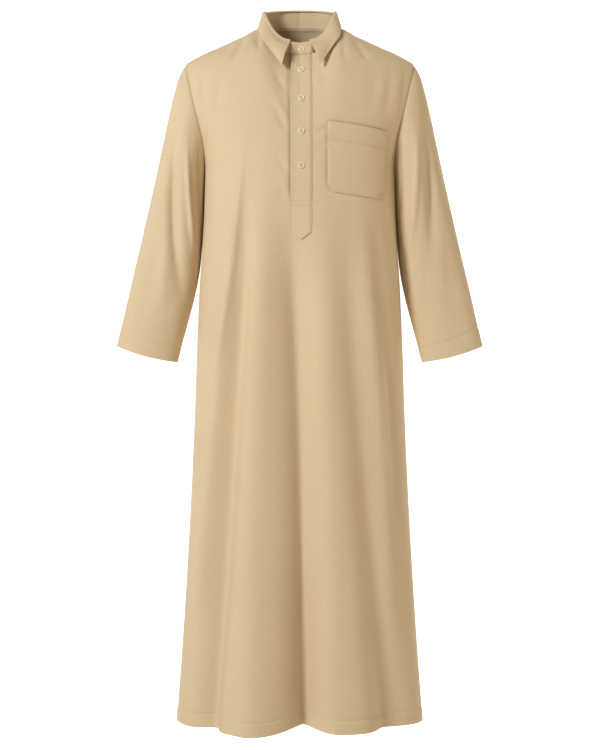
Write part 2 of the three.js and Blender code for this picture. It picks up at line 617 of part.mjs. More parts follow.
// A place on the stand: `path` is the angle from the middle of the front, round by the wearer's right.
function standPoint(path, up) {
  const half = FULL_TURN / 2;
  const around = Math.abs(((path + half + FULL_TURN) % FULL_TURN) - half);
  const side = Math.sin(radians(path)) > 0 ? -1 : 1;
  const base = neckPoint(around);
  base.x *= side;
  const out = new THREE.Vector2(base.x, base.y).normalize();
  const sag = endSag(path - FULL_TURN);
  const shift = lapLift(FULL_TURN - path) + END_SAG_OUT * sag - up * read(STAND, 'around', around, 'lean');
  return new THREE.Vector3(
    base.x + out.x * shift,
    base.y + out.y * shift,
    base.z + STAND_GAP + up * read(STAND, 'around', around, 'height') - sag,
  );
}

function makeStand(front) {
  const frontAngles = front.columns
    .filter((across) => Math.abs(across) < neckEdge)
    .map((across) => degrees(Math.asin(across / neckAcross)));
  const backAngles = steps(COUNT.yokeNeck).map((share) => mix(neckAround, 180, share));
  const right = [...frontAngles.filter((a) => a < 0).map((a) => -a), ...backAngles];
  const left = [...frontAngles.filter((a) => a > 0), ...backAngles.slice(0, -1)].map((a) => FULL_TURN - a);
  const end = FULL_TURN + OVER_END;
  const ends = [-UNDER_END, -UNDER_END / 2, FULL_TURN, end - END_ROUND, end - END_ROUND * 0.4, end];
  const paths = [...ends, ...right, ...left].sort((a, b) => a - b);
  const roundEnd = (path) => {
    const past = clamp((path - end) / END_ROUND + 1, 0, 1);
    return 1 - END_DROP * (1 - Math.sqrt(1 - past * past));
  };
  const ups = [0, 0.33, 0.66, 1];
  const points = ups.map((up) => paths.map((path) => standPoint(path, up * roundEnd(path))));
  addPiece('collar_stand', clothWall(points, gridOuts(points)));
}

// The roll of the collar over the stand's top edge: how far out of it and above it.
const ROLL = [
  { out: 0, up: 4.2 },
  { out: 3.4, up: 4.2 },
  { out: 5.6, up: -0.6 },
];
const FALL_ROWS = [0.36, 0.7, 1]; // the leaf's rows, as shares of the way from the roll to its edge
const FALL_BELLY = 2.2; // how far the leaf bows out between them
const FALL_BEND = 1.1; // above 1 its columns lie closer together near the points

// The fall goes from just over the stand's top edge, round the roll, down to the leaf's edge.
function makeFall() {
  const half = steps(COUNT.fall).map((share) => mix(LEAF[0].around, 180, share ** FALL_BEND));
  const signed = [...half, ...half.slice(0, -1).reverse().map((a) => -a)];
  const columns = signed.map((angle) => {
    const around = Math.abs(angle);
    const side = angle < 0 ? -1 : 1;
    const foot = neckPoint(around);
    const out = new THREE.Vector2(foot.x, foot.y).normalize();
    const lap = side > 0 ? lapLift(around) : 0;
    const lean = read(STAND, 'around', around, 'lean');
    const height = read(STAND, 'around', around, 'height');
    const rolled = ROLL.map((r) => {
      const shift = r.out + lap - lean;
      return new THREE.Vector3(foot.x + out.x * shift, foot.y + out.y * shift, foot.z + height + r.up);
    });
    const at = (column) => read(LEAF, 'around', around, column);
    const apart = side > 0 ? POINT_SPREAD * (1 - ease(LEAF[0].around, POINT_SPREAD_TO, around)) : 0;
    const edge = aboveBody(at('across') + apart, at('over'), at('lift') + WALL);
    const last = rolled.at(-1);
    const hang = FALL_ROWS.map((share) => {
      const point = last.clone().lerp(edge, share);
      const belly = FALL_BELLY * Math.sin(Math.PI * share);
      return point.add(new THREE.Vector3(out.x * belly, out.y * belly, 0));
    });
    return [...rolled, ...hang].map((p) => new THREE.Vector3(p.x * side, p.y, p.z));
  });
  const points = columns[0].map((_, i) => columns.map((column) => column[i]));
  addPiece('collar_fall', clothWall(points, gridOuts(points)));
}

// ---------------------------------------------------------------- pieces that lie on the front

// A wall on the front: `place(a, b)` gives the place across and the height for two shares, and `lift` is the
// height of its outer face above the front's outer face.
function onFront(name, place, across, down, lift) {
  const points = [];
  const outs = [];
  for (const b of down) {
    const places = across.map((a) => place(a, b));
    outs.push(places.map(([x, height]) => frontOut(x, height)));
    points.push(places.map(([x, height], j) => {
      const point = frontAt(x, height).addScaledVector(outs.at(-1)[j], lift);
      return point.setY(point.y - SEAM / 2);
    }));
  }
  addPiece(name, clothWall(points, outs));
}

const PLACKET_BELOW_NECK = 2.2; // how far below the neckline the placket starts
const UNDER_BELOW_NECK = 1; // and the one under it
const PLACKET_BEND = 1.2; // above 1 the placket's rows lie closer together near the neck
const POCKET_REST = 0.85; // space between the pocket and the front

// The height of the neckline at a place across, near the middle of the front.
function necklineAt(x) {
  const around = degrees(Math.asin(clamp(Math.abs(x) / NECK_WIDTH, 0, 1)));
  return neckPoint(around).z;
}

function makePlackets() {
  const middle = (PLACKET.left + PLACKET.right) / 2;
  const foot = (x) => mix(PLACKET.tip, PLACKET.corners, Math.abs(x - middle) / (PLACKET.right - middle));
  const placket = (a, b) => {
    const x = mix(PLACKET.left, PLACKET.right, a);
    const top = necklineAt(x) - PLACKET_BELOW_NECK - endSag(-degrees(Math.asin(x / NECK_WIDTH)));
    return [x, mix(top, foot(x), b)];
  };
  const down = steps(COUNT.placket).map((share) => share ** PLACKET_BEND);
  onFront('placket', placket, steps(4), down, REST + WALL);
  const under = (a, b) => {
    const x = mix(UNDER_PLACKET.left, UNDER_PLACKET.right, a);
    return [x, mix(necklineAt(x) - UNDER_BELOW_NECK, UNDER_PLACKET.foot, b)];
  };
  onFront('under_placket', under, steps(4), steps(COUNT.underPlacket), -WALL - REST);
}

function makePocket() {
  const place = (a, b) => {
    const late = Math.max(0, (b - 1 + POCKET.clipShare) / POCKET.clipShare);
    const left = POCKET.left + POCKET.clip * late;
    const right = mix(POCKET.rightTop, POCKET.rightFoot, b) - POCKET.clip * late;
    const top = mix(POCKET.topLeft, POCKET.topRight, a);
    const foot = mix(POCKET.footLeft, POCKET.footRight, a);
    return [mix(left, right, a), mix(top, foot, b)];
  };
  const down = [...steps(COUNT.pocket).map((share) => share * (1 - POCKET.clipShare)), 1];
  onFront('pocket', place, steps(COUNT.pocket), down, POCKET_REST + WALL);
}

// A button: a round plate with a raised rim, turned about its own axis.
function makeButton(name, point, out) {
  const { radius, thick, rim, dish, bevel, sides } = BUTTON;
  const profile = [
    [0, 0], [radius, bevel], [radius, thick - bevel],
    [radius - rim / 2, thick], [radius - 1.6 * rim, thick - dish], [0, thick - dish],
  ].map(([r, h]) => new THREE.Vector2(r, h));
  const mesh = addPiece(name, new THREE.LatheGeometry(profile, sides), HORN);
  mesh.quaternion.setFromUnitVectors(new THREE.Vector3(0, 1, 0), out);
  mesh.position.copy(point);
}

const STAND_STEP = { path: 3, up: 0.1 }; // short steps on the stand, in degrees and as a share of its height
function makeButtons() {
  BUTTON_HEIGHTS.forEach((height, i) => {
    const out = frontOut(BUTTON.across, height);
    const seat = frontAt(BUTTON.across, height).addScaledVector(out, REST + WALL + BUTTON_OFF);
    makeButton(`button_${i + 1}`, seat, out);
  });
  const path = FULL_TURN - degrees(Math.asin(BUTTON.across / NECK_WIDTH));
  const out = outward(standPoint, path, COLLAR_BUTTON_UP, STAND_STEP.path, -STAND_STEP.up);
  const seat = standPoint(path, COLLAR_BUTTON_UP).addScaledVector(out, COLLAR_BUTTON_OFF);
  makeButton('button_collar', seat, out);
}

const front = makeFront();
const back = makeBack();
const yoke = makeYoke();
makeSleeve('sleeve_left', 1, front, back, yoke);
makeSleeve('sleeve_right', -1, front, back, yoke);
makeStand(front);
makeFall();
makePlackets();
makePocket();
makeButtons();

export default thobe;
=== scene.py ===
"""A men's thobe in its worn form: woven cloth with its folds, creases, seams and stitches, and its buttons.

Every cloth piece is a thin shell on the form of its solid. The same sections, folds and seams as in the solid
are drawn finer here, and the small creases are placed one by one. Lengths are worked out in millimetres, and
placed in metres.
"""

import logging
import math
from dataclasses import dataclass, field
from enum import Enum
from typing import ClassVar, Iterable, Sequence

import bmesh
import bpy
import numpy as np
from mathutils import Matrix, Vector


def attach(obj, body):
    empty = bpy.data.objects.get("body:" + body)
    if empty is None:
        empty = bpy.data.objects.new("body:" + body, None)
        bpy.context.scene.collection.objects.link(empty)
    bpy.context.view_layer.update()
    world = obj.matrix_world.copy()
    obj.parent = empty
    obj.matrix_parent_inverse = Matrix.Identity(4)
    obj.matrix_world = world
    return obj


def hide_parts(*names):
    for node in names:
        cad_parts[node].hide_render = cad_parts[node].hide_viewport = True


LOG = logging.getLogger("thobe")
Array = np.ndarray
Pair, Triple, Floats = tuple[float, float], tuple[float, float, float], tuple[float, ...]
Material, Object, Socket = bpy.types.Material, bpy.types.Object, bpy.types.NodeSocket
MM = 0.001
TINY = 1e-9

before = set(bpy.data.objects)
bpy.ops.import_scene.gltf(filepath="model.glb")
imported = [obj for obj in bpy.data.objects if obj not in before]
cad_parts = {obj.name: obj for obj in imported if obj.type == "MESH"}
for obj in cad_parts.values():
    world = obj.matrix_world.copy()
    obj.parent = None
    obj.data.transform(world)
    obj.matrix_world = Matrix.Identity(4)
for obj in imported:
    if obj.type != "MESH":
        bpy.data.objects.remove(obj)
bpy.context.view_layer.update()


# ---- numbers


def mix(low: float | Array, high: float | Array, share: float | Array) -> float | Array:
    """The value at a share of the way from `low` to `high`."""
    return low + (high - low) * share


def ease(start: float, end: float, value: float | Array) -> float | Array:
    """A smooth step from 0 at `start` to 1 at `end`."""
    share = np.clip((value - start) / (end - start), 0, 1)
    return share * share * (3 - 2 * share)


def band(distance: Array, wide: float | Array) -> Array:
    """A soft band along a line, from 1 on it to 0, by the distance from it."""
    return np.exp(-((distance / wide) ** 2))


def unit(vectors: Array) -> Array:
    """The same directions, each of length 1."""
    return vectors / np.maximum(np.linalg.norm(vectors, axis=-1, keepdims=True), TINY)


def stack(x: float | Array, y: float | Array, z: float | Array) -> Array:
    """Points from three arrays of coordinates, which may be of any matching shapes."""
    return np.stack(np.broadcast_arrays(x, y, z), axis=-1).astype(float)


def lengths_along(points: Array, axis: int) -> Array:
    """Each point's distance from the first one along a line of points, or along the lines of a grid.

    Args:
        points: the points, with their coordinates last.
        axis: the axis along which the lines run.

    Returns:
        The distances.
    """
    steps = np.linalg.norm(np.diff(points, axis=axis), axis=-1)
    start = np.zeros_like(steps.take([0], axis=axis))
    return np.concatenate([start, np.cumsum(steps, axis=axis)], axis=axis)


def between_rows(places: Array, keys: Array, table: Array) -> Array:
    """The rows of a table of points at places between its rows' keys."""
    return np.stack([np.interp(places, keys, table[:, k]) for k in range(table.shape[1])], axis=-1)


def nearest(values: Array, wanted: float) -> int:
    """The index of the value that is nearest to a wanted one."""
    return int(np.abs(values - wanted).argmin())


class Table:
    """Rows of named numbers, read between the rows on a smooth curve."""

    def __init__(self, columns: str, *rows: Sequence[float]) -> None:
        """Keeps the rows.

        Args:
            columns: the columns' names, the first of which rises from row to row.
            *rows: each row's numbers.
        """
        self.columns = columns.split()
        self.rows = np.array(rows, float)

    def read(self, at: float | Array, column: str) -> Array:
        """One column's value.

        Args:
            at: where, along the first column.
            column: the name of the column.

        Returns:
            The values, in the shape of `at`.
        """
        keys = self.rows[:, 0]
        values = self.rows[:, self.columns.index(column)]
        last = len(keys) - 1
        place = np.clip(at, keys[0], keys[-1])
        i = np.clip(np.searchsorted(keys, place, side="left") - 1, 0, last - 1)
        low, high = np.maximum(np.arange(last + 1) - 1, 0), np.minimum(np.arange(last + 1) + 1, last)
        slopes = (values[high] - values[low]) / (keys[high] - keys[low])
        span = keys[i + 1] - keys[i]
        share = (place - keys[i]) / span
        square, cube = share**2, share**3
        return (
            values[i] * (2 * cube - 3 * square + 1)
            + slopes[i] * span * (cube - 2 * square + share)
            + values[i + 1] * (3 * square - 2 * cube)
            + slopes[i + 1] * span * (cube - square)
        )


# ---- the garment's sizes

CHEST, HEM = -290.0, -1375.0
NECK_WIDTH, SHOULDER_WIDTH = 76.0, 224.0
NECK_ACROSS = NECK_WIDTH / SHOULDER_WIDTH
YOKE_SEAM = -112.0
# The gap at a seam, the solids' wall, and how far a laid piece stands off the cloth under it.
SEAM, WALL, REST = 0.3, 1.6, 0.7
# The body keeps some depth at the armholes' tops: the share left out of its section, over this height.
SHOULDER_DEPTH, SHOULDER_DEPTH_OVER = 0.11, 150.0
# How far before the shoulder's ridge the yoke's front seam runs, at the neck and at the armhole.
SEAM_BEFORE_RIDGE = (25.0, 9.0)

BODY = Table(
    "height half_width front back square",
    (-1375, 244, 166, 160, 1.8), (-1238, 234, 160, 154, 1.84), (-1118, 226, 155, 149, 1.88),
    (-998, 219, 150, 144, 1.92), (-878, 213, 145, 138, 1.97), (-758, 208, 140, 132, 2.02),
    (-638, 204, 135, 125, 2.07), (-518, 199, 130, 118, 2.12), (-440, 194, 127, 114, 2.15),
    (-378, 190.5, 125, 112, 2.18), (-290, 188.5, 123, 111, 2.2), (-255, 188.5, 123, 111, 2.2),
    (-225, 191, 123, 111, 2.2), (-193, 197.5, 123, 111, 2.2), (-157, 206.5, 123, 111, 2.2),
    (-117, 215.5, 123, 111, 2.2), (-80, 223, 123, 111, 2.2), (-60, 224, 123, 111, 2.2),
)
ARCH = Table(
    "across front_rise back_rise front_round back_round",
    (0, 265, 333, 2, 3), (0.17, 272, 325, 2.1, 2.9), (0.34, 291, 291, 2.4, 2.6), (0.51, 273.5, 273.5, 2.5, 2.6),
    (0.71, 253, 253, 2.6, 2.6), (0.84, 241, 241, 2.6, 2.6), (1, 223, 223, 2.6, 2.6),
)
SLEEVE = Table(
    "along outer_x outer_z inner_x inner_z half_depth back",
    (0, 224, -67, 189, -290, 58, 0),
    (0.05, 238, -90, 190.5, -306, 60, 1),
    (0.12, 249, -125, 191.5, -326, 62, 3),
    (0.22, 261, -174, 192.5, -354, 63, 6),
    (0.34, 275, -238, 194, -392, 62, 9),
    (0.46, 290, -306, 197.5, -436, 59, 11),
    (0.58, 306, -376, 202.5, -484, 54, 11),
    (0.7, 322, -447, 212.5, -535, 48, 8),
    (0.82, 339, -521, 225.5, -586, 42, 3),
    (0.92, 352.5, -584, 236.5, -628, 37, -3),
    (1, 363, -631, 245, -662, 33, -8),
)
NECKLINE = Table(
    "around over",
    (0, 59.6), (14, 59.3), (27, 59), (40, 60.8), (52, 65), (66, 72.5), (90, 88.4), (120, 103), (150, 113.6),
    (180, 117.3),
)
STAND = Table(
    "around height lean",
    (0, 23, 1), (14, 23.9, 1.5), (27, 25.6, 2), (40, 26.5, 1.5), (50, 27.6, 1), (60, 30.2, 1.5), (70, 31, 3.2),
    (80, 31.2, 5.2), (92, 33, 6.5), (106, 36.4, 7), (125, 38.4, 6.5), (150, 33.7, 5), (180, 34.5, 4),
)
LEAF = Table(
    "around across over lift",
    (14, 0.168, 45.0, 11.0), (26, 0.216, 47.8, 8.6), (40, 0.262, 50.9, 6.0), (56, 0.318, 56, 4.2),
    (70, 0.35, 62.5, 3.6), (84, 0.358, 75, 3.4), (98, 0.357, 93, 3.4), (116, 0.318, 110, 3.8),
    (140, 0.196, 120.5, 4.2), (180, 0, 125, 4.2),
)


class Side(Enum):
    """The front or the back of the garment, with the sign of its Y."""

    FRONT = -1
    BACK = 1


@dataclass(frozen=True)
class Fold:
    """A long fold that hangs down the skirt. `x`, `wide` and `rise` run from its top to its foot.

    A fold with a skew above 0 is that much wider than `wide` towards -X, and narrower towards +X.
    """

    top: float
    foot: float
    x: Triple
    wide: Pair
    rise: Pair
    skew: float = 0.0
    full_at: ClassVar[float] = 0.25
    fades_at: ClassVar[float] = 0.8

    def rise_at(self, x: Array, height: Array) -> Array:
        """How far the fold moves the cloth out at places across and heights."""
        run = np.clip((self.top - height) / (self.top - self.foot), 0, 1)
        bow = 2 * self.x[1] - (self.x[0] + self.x[2]) / 2
        middle = mix(mix(self.x[0], bow, run), mix(bow, self.x[2], run), run)
        wide = mix(*self.wide, run) * (1 - self.skew * np.sign(x - middle))
        faded = 1 - ease(self.fades_at, 1, run) if self.foot > HEM else 1.0
        return mix(*self.rise, run**2) * ease(0, self.full_at, run) * faded * band(x - middle, wide)


@dataclass(frozen=True)
class Crease:
    """A soft trough (a negative rise) or ridge along a bowed line between two places on the cloth.

    The places are (x, height) on the front, the back or the shoulders, and (length from the armhole, angle
    round) on a sleeve, in millimetres and degrees. It moves no cloth beyond `reach` times its width.
    """

    start: Pair
    end: Pair
    wide: float
    rise: float
    bow: float = 0.0
    fade: float = 0.4
    reach: ClassVar[float] = 3.0

    def line(self, count: int = 14) -> tuple[Array, Array]:
        """The crease's points, as an array of pairs, and its strength at each of them."""
        share = np.linspace(0, 1, count)
        start, end = np.array(self.start), np.array(self.end)
        along = end - start
        sideways = np.array([-along[1], along[0]]) / max(np.linalg.norm(along), TINY)
        places = start + share[:, None] * along + (4 * share * (1 - share) * self.bow)[:, None] * sideways
        return places, ease(0, self.fade, share) * (1 - ease(1 - self.fade, 1, share))


def creases(*rows: Sequence[float]) -> tuple[Crease, ...]:
    """Creases from rows of start, end, width and rise, and then the bow and the fade where they matter."""
    return tuple(Crease(row[:2], row[2:4], *row[4:]) for row in rows)


def crease_rise(points: Array, lines: Iterable[tuple[Array, Array, Crease]]) -> Array:
    """How far a set of creases moves points of the cloth out.

    Args:
        points: the cloth's points, with any number of coordinates.
        lines: each crease's points in the same coordinates, its strengths there, and the crease.

    Returns:
        One rise for each point.
    """
    flat = points.reshape(-1, points.shape[-1])
    total = np.zeros(len(flat))
    for places, strength, crease in lines:
        reach = crease.reach * crease.wide
        near = np.all((flat > places.min(0) - reach) & (flat < places.max(0) + reach), axis=1)
        if not near.any():
            continue
        part = flat[near][:, None, :]
        step = places[1:] - places[:-1]
        share = np.clip(((part - places[:-1]) * step).sum(-1) / (step**2).sum(-1), 0, 1)
        distance = np.linalg.norm(part - places[:-1] - share[..., None] * step, axis=-1)
        best = distance.argmin(1)
        row = np.arange(len(best))
        grown = mix(strength[:-1][best], strength[1:][best], share[row, best])
        total[near] += crease.rise * grown * band(distance[row, best], crease.wide)
    return total.reshape(points.shape[:-1])


def pucker(along: Array, seed: float, length: float = 11.0) -> Array:
    """The uneven waves that a seam's thread draws into the cloth, from -1 to 1, by the distance along it."""
    wave = 2 * math.pi * along / length
    waves = ((0.5, 1, 1), (0.3, 1.62, 2.3), (0.2, 2.7, 5))
    return sum(height * np.sin(pace * wave + turn * seed) for height, pace, turn in waves)


# ---- folds and creases

FOLDS = {
    Side.FRONT: (
        Fold(-200, -1250, (-108, -160, -208), (13, 15), (7, 14), 0.1),
        Fold(-280, -1420, (-94, -134, -186), (19, 22), (-16, -33)),
        Fold(-230, -1420, (-72, -90, -94), (30, 34), (7, 20)),
        Fold(-300, -1420, (0, 14, 22), (80, 100), (-3, -18)),
        Fold(-300, -1420, (-28, -1, 7), (41, 50), (-20, -56), -0.1),
        Fold(-340, -1420, (-22, 5, 14), (19, 23), (-7, -16), -0.1),
        Fold(-330, -1420, (42, 54, 66), (24, 30), (5, 8)),
        Fold(-330, -1420, (86, 136, 198), (38, 50), (-12, -40), -0.2),
        Fold(-330, -1400, (112, 166, 214), (18, 22), (9, 14)),
        Fold(-330, -1250, (140, 186, 220), (13, 17), (-4, -5)),
    ),
    Side.BACK: (
        Fold(-260, -1420, (92, 128, 168), (22, 34), (6, 14)),
        Fold(-330, -1420, (66, 82, 112), (22, 34), (-7, -22)),
        Fold(-240, -1420, (22, 34, 52), (26, 42), (7, 18)),
        Fold(-300, -1420, (-20, -14, -6), (20, 34), (-7, -26)),
        Fold(-260, -1420, (-58, -66, -72), (24, 40), (6, 16)),
        Fold(-350, -1420, (-98, -118, -140), (22, 36), (-7, -20)),
        Fold(-420, -1420, (-128, -160, -194), (18, 26), (5, 10)),
    ),
}
CREASES = {
    Side.FRONT: creases(
        # Sharp lines along the tops of the long folds.
        (-106, -238, -172, -760, 4, 3.2, 7, 0.3), (-166, -690, -206, -1120, 4, 2.4, -3),
        (-84, -330, -112, -900, 6, 2, 4), (-108, -860, -140, -1290, 6, 1.3, 2),
        (162, -560, 190, -1010, 4, 2.6, -7), (178, -330, 196, -640, 4.5, -1.5, 4),
        (166, -330, 186, -560, 5, 1.2, 3),
        # Drags from the shoulders and the neck.
        (-104, -20, -140, -76, 6.5, -5.2, 2), (-92, -14, -124, -84, 6, 3.6, 3), (-130, -34, -158, -62, 5, -2.8),
        (-84, -8, -80, -66, 5, -4.2), (84, -8, 88, -96, 6.5, -2.9), (106, -24, 140, -84, 8, -2.6, -3),
        (-148, -88, -166, -196, 9, -1.9), (-190, -84, -180, -206, 8, -2.6, -4),
        (208, -74, 194, -200, 8, -2.9, 4), (180, -76, 162, -196, 10, -2.2, 3),
        (150, -70, 134, -186, 12, -1.7, 3), (-196, -150, -184, -240, 9, 2.7, 3),
        (198, -150, 186, -250, 9, 2.8, -3),
        # Pulls at the placket's edges, between the buttons.
        (-52, -88, -19, -150, 5.5, -2, -4), (-60, -104, -26, -190, 9, 1.6, -6),
        (-46, -150, -20, -198, 5, 1.9, -3), (-46, -170, -19, -226, 6, -2.1, -4),
        (-44, -262, -20, -300, 6, -2.1, -3), (-40, -300, -19, -330, 5, 1.5, -2),
        (-44, -330, -20, -352, 6, -1.7, -3), (27, -224, 56, -210, 5, -1.5), (27, -236, 60, -226, 5, 1.3),
        (27, -252, 54, -246, 5, -1.5), (26, -90, 40, -150, 7, 1.5, 3),
    ),
    Side.BACK: creases(
        (96, -118, 120, -330, 9, -1.8, 6), (120, -130, 150, -420, 8, 1.6, 5),
        (-92, -118, -118, -350, 9, -1.7, -7), (-124, -140, -150, -400, 8, 1.5, -5),
        (176, -200, 166, -330, 7, -1.4, 4), (-176, -196, -168, -340, 7, -1.5, -4),
        (20, -130, 30, -420, 10, 1.2, 4), (-24, -160, -16, -460, 9, -1.2, -4),
        (150, -500, 184, -1050, 4.5, 1.4, -5), (-150, -420, -190, -960, 4.5, 1.4, 5),
        (40, -420, 46, -1000, 5.5, 1.2, 3), (-64, -360, -72, -900, 6, 1.2, -3),
        (88, -700, 112, -1330, 7, -1.6, 3), (-20, -760, -4, -1340, 7, -1.8, -3),
    ),
}

# The front sinks beside the placket's free edge and round the pocket.
GROOVES = creases(
    (-16.4, -56, -16.4, -358, 2.8, -4.2, 0, 0.06), (52, -200, 170, -213.5, 2.6, -1.9, 0, 0.05),
    (54, -200, 54, -330, 2.6, -1.7, 0, 0.1), (173, -212, 164, -336, 3, -2.2, 0, 0.1),
    (54, -330, 67, -343, 2.6, -1.4, 0, 0.2), (164, -334, 149, -350, 3, -1.6, 0, 0.2),
)

# By the sign of the sleeve's side in X.
SLEEVE_CREASES = {
    1: creases(
        (50, 46, 440, 98, 18, -12, -6, 0.5), (60, 74, 340, 134, 12, 6, -6), (20, 104, 230, 152, 12, -6, 5),
        (250, 138, 470, 152, 11, -3, 4), (330, 96, 520, 110, 9, -1.6, 5), (300, 60, 500, 84, 14, 2),
        (440, 130, 520, 70, 8, -1.2, 5), (60, 230, 300, 215, 9, -3, -5), (220, 250, 470, 235, 11, 2.4, 5),
    ),
    -1: creases(
        (50, 56, 480, 146, 18, -15, -22, 0.5), (60, 84, 340, 146, 10, 7), (20, 112, 250, 158, 10, -6, 4),
        (270, 140, 470, 158, 10, -2.6, 4), (30, 96, 220, 112, 6, 1.2, 3), (330, 86, 520, 100, 12, 2, -4),
        (430, 126, 530, 80, 8, -1.3, 4), (80, 236, 280, 222, 9, -2.8, -4), (250, 256, 480, 240, 11, 2.2, -5),
    ),
}


# ---- the body's surface


class Form:
    """The smooth surface that the garment's panels follow, with their folds and creases."""

    # The steps at which directions out are read: across, over the shoulder, and on the folded front.
    across_step, over_step, skin_step = 0.004, 0.5, 2
    # Folds and creases fade out from these shares of the half width to the side seams.
    folds_fade, creases_fade = 0.84, 0.9

    def __init__(self) -> None:
        """Works out each crease's line on the surface once."""
        self.lines: dict[Side, list[tuple[Array, Array, Crease]]] = {}
        for side, creases in CREASES.items():
            self.lines[side] = [self.traced(side, crease) for crease in creases]
        self.grooves = [self.traced(Side.FRONT, groove) for groove in GROOVES]

    def traced(self, side: Side, crease: Crease) -> tuple[Array, Array, Crease]:
        """A crease's points on the smooth surface and its strengths there, with the crease."""
        places, strength = crease.line()
        return self.smooth(side, places[:, 0], places[:, 1])[0], strength, crease

    def lower(self, side: Side, across: Array, height: Array) -> tuple[Array, Array]:
        """Points below the underarm, and the directions out of them.

        Args:
            side: the front or the back.
            across: places from -1 to 1 between the side seams.
            height: their heights.

        Returns:
            The points and the directions.
        """
        across, height = np.broadcast_arrays(np.asarray(across, float), np.asarray(height, float))
        wide, square = BODY.read(height, "half_width"), BODY.read(height, "square")
        deep = BODY.read(height, side.name.lower())
        share = np.abs(across)
        reach = np.maximum(0, 1 - share**square) ** (1 / square)
        out_x = np.sign(across) * share ** (square - 1) / wide
        out_y = side.value * reach ** (square - 1) / deep
        return stack(across * wide, side.value * deep * reach, height), unit(stack(out_x, out_y, 0))

    def upper(self, across: Array, over: Array) -> Array:
        """Points above the underarm.

        Args:
            across: places from -1 to 1 between the armholes.
            over: angles over the shoulder, from 0 at the chest over 90 on the ridge to 180 at the back.

        Returns:
            The points.
        """
        across, over = np.broadcast_arrays(np.asarray(across, float), np.asarray(over, float))
        share, front = np.abs(across), over < 90
        bend = np.where(front, ARCH.read(share, "front_round"), ARCH.read(share, "back_round"))
        rise = np.where(front, ARCH.read(share, "front_rise"), ARCH.read(share, "back_rise"))
        sine = np.clip(np.sin(np.radians(over)), 0, 1)
        height = CHEST + rise * sine ** (2 / bend)
        square = BODY.read(height, "square")
        kept = 1 - SHOULDER_DEPTH * ease(CHEST, CHEST + SHOULDER_DEPTH_OVER, height)
        reach = np.maximum(0, 1 - (share * kept) ** square) ** (1 / square)
        deep = np.where(front, BODY.read(height, "front"), BODY.read(height, "back"))
        depth = deep * reach * np.abs(np.cos(np.radians(over))) ** (2 / bend)
        return stack(across * BODY.read(height, "half_width"), np.where(front, -depth, depth), height)

    def upper_out(self, across: Array, over: Array) -> Array:
        """The directions out of the upper body at places across and over."""
        over = np.clip(over, self.over_step, 180 - self.over_step)
        along = self.upper(across + self.across_step, over) - self.upper(across - self.across_step, over)
        up = self.upper(across, over + self.over_step) - self.upper(across, over - self.over_step)
        return unit(np.cross(along, up))

    def upper_skin(self, across: Array, over: Array) -> tuple[Array, Array]:
        """The upper body's points and the directions out of them, at places across and over."""
        return self.upper(across, over), self.upper_out(across, over)

    def over_at(self, across: Array, height: Array, side: Side) -> Array:
        """The angle over the shoulder at which the surface passes a height, on one side."""
        name = side.name.lower()
        share = np.abs(across)
        bend, rise = ARCH.read(share, f"{name}_round"), ARCH.read(share, f"{name}_rise")
        angle = np.degrees(np.arcsin(np.clip((height - CHEST) / rise, 0, 1) ** (bend / 2)))
        return angle if side is Side.FRONT else 180 - angle

    def smooth(self, side: Side, x: Array, height: Array) -> tuple[Array, Array]:
        """The unfolded surface's points and directions out, at places across in millimetres and heights."""
        x, height = np.broadcast_arrays(np.asarray(x, float), np.asarray(height, float))
        across = np.clip(x / BODY.read(height, "half_width"), -1, 1)
        low, low_out = self.lower(side, across, np.minimum(height, CHEST))
        over = self.over_at(across, np.maximum(height, CHEST), side)
        high, high_out = self.upper_skin(across, over)
        is_low = (height < CHEST)[..., None]
        return np.where(is_low, low, high), np.where(is_low, low_out, high_out)

    def folded(self, side: Side, points: Array, outs: Array, sharp: float = 1.0) -> Array:
        """Points of a panel with its folds and creases.

        Args:
            side: the front or the back.
            points: the smooth surface's points.
            outs: the directions out of them.
            sharp: how much of the small creases shows.

        Returns:
            The moved points.
        """
        x, height = points[..., 0], points[..., 2]
        share = np.abs(x) / BODY.read(height, "half_width")
        rise = sum(fold.rise_at(x, height) for fold in FOLDS[side])
        rise = rise * (1 - ease(self.folds_fade, 1, share))
        rise = rise + sharp * crease_rise(points, self.lines[side]) * (1 - ease(self.creases_fade, 1, share))
        return points + outs * rise[..., None]

    def front_skin(self, x: Array, height: Array, sharp: float = 1.0) -> tuple[Array, Array]:
        """The front's folded surface and the directions out of it, at places across and heights."""

        def at(side_step: float, down_step: float) -> Array:
            """The folded surface a step away."""
            points, outs = self.smooth(Side.FRONT, x + side_step, height + down_step)
            return self.folded(Side.FRONT, points, outs, sharp)

        step = self.skin_step
        along, up = at(step, 0) - at(-step, 0), at(0, step) - at(0, -step)
        points = at(0, 0)
        points[..., 1] -= SEAM / 2
        return points, unit(np.cross(along, up))


FORM = Form()


def neck_over(around: Array) -> Array:
    """The neckline's angle over the shoulder, by the angle round it from the middle of the front."""
    return NECKLINE.read(around, "over")


def neck_point(around: Array) -> Array:
    """A point of the neckline, on the side of +X."""
    return FORM.upper(NECK_ACROSS * np.sin(np.radians(around)), neck_over(around))


def seam_over(across: Array) -> Array:
    """The angle over the shoulder of the seam between front and yoke."""
    share = np.abs(np.asarray(across, float))
    before = mix(*SEAM_BEFORE_RIDGE, (share - NECK_ACROSS) / (1 - NECK_ACROSS))
    low, high = np.full_like(share, 45.0), np.full_like(share, 90.0)
    # Each round halves the angle between the two.
    for _ in range(30):
        middle = (low + high) / 2
        is_before = -FORM.upper(share, middle)[..., 1] > before
        low, high = np.where(is_before, middle, low), np.where(is_before, high, middle)
    return low


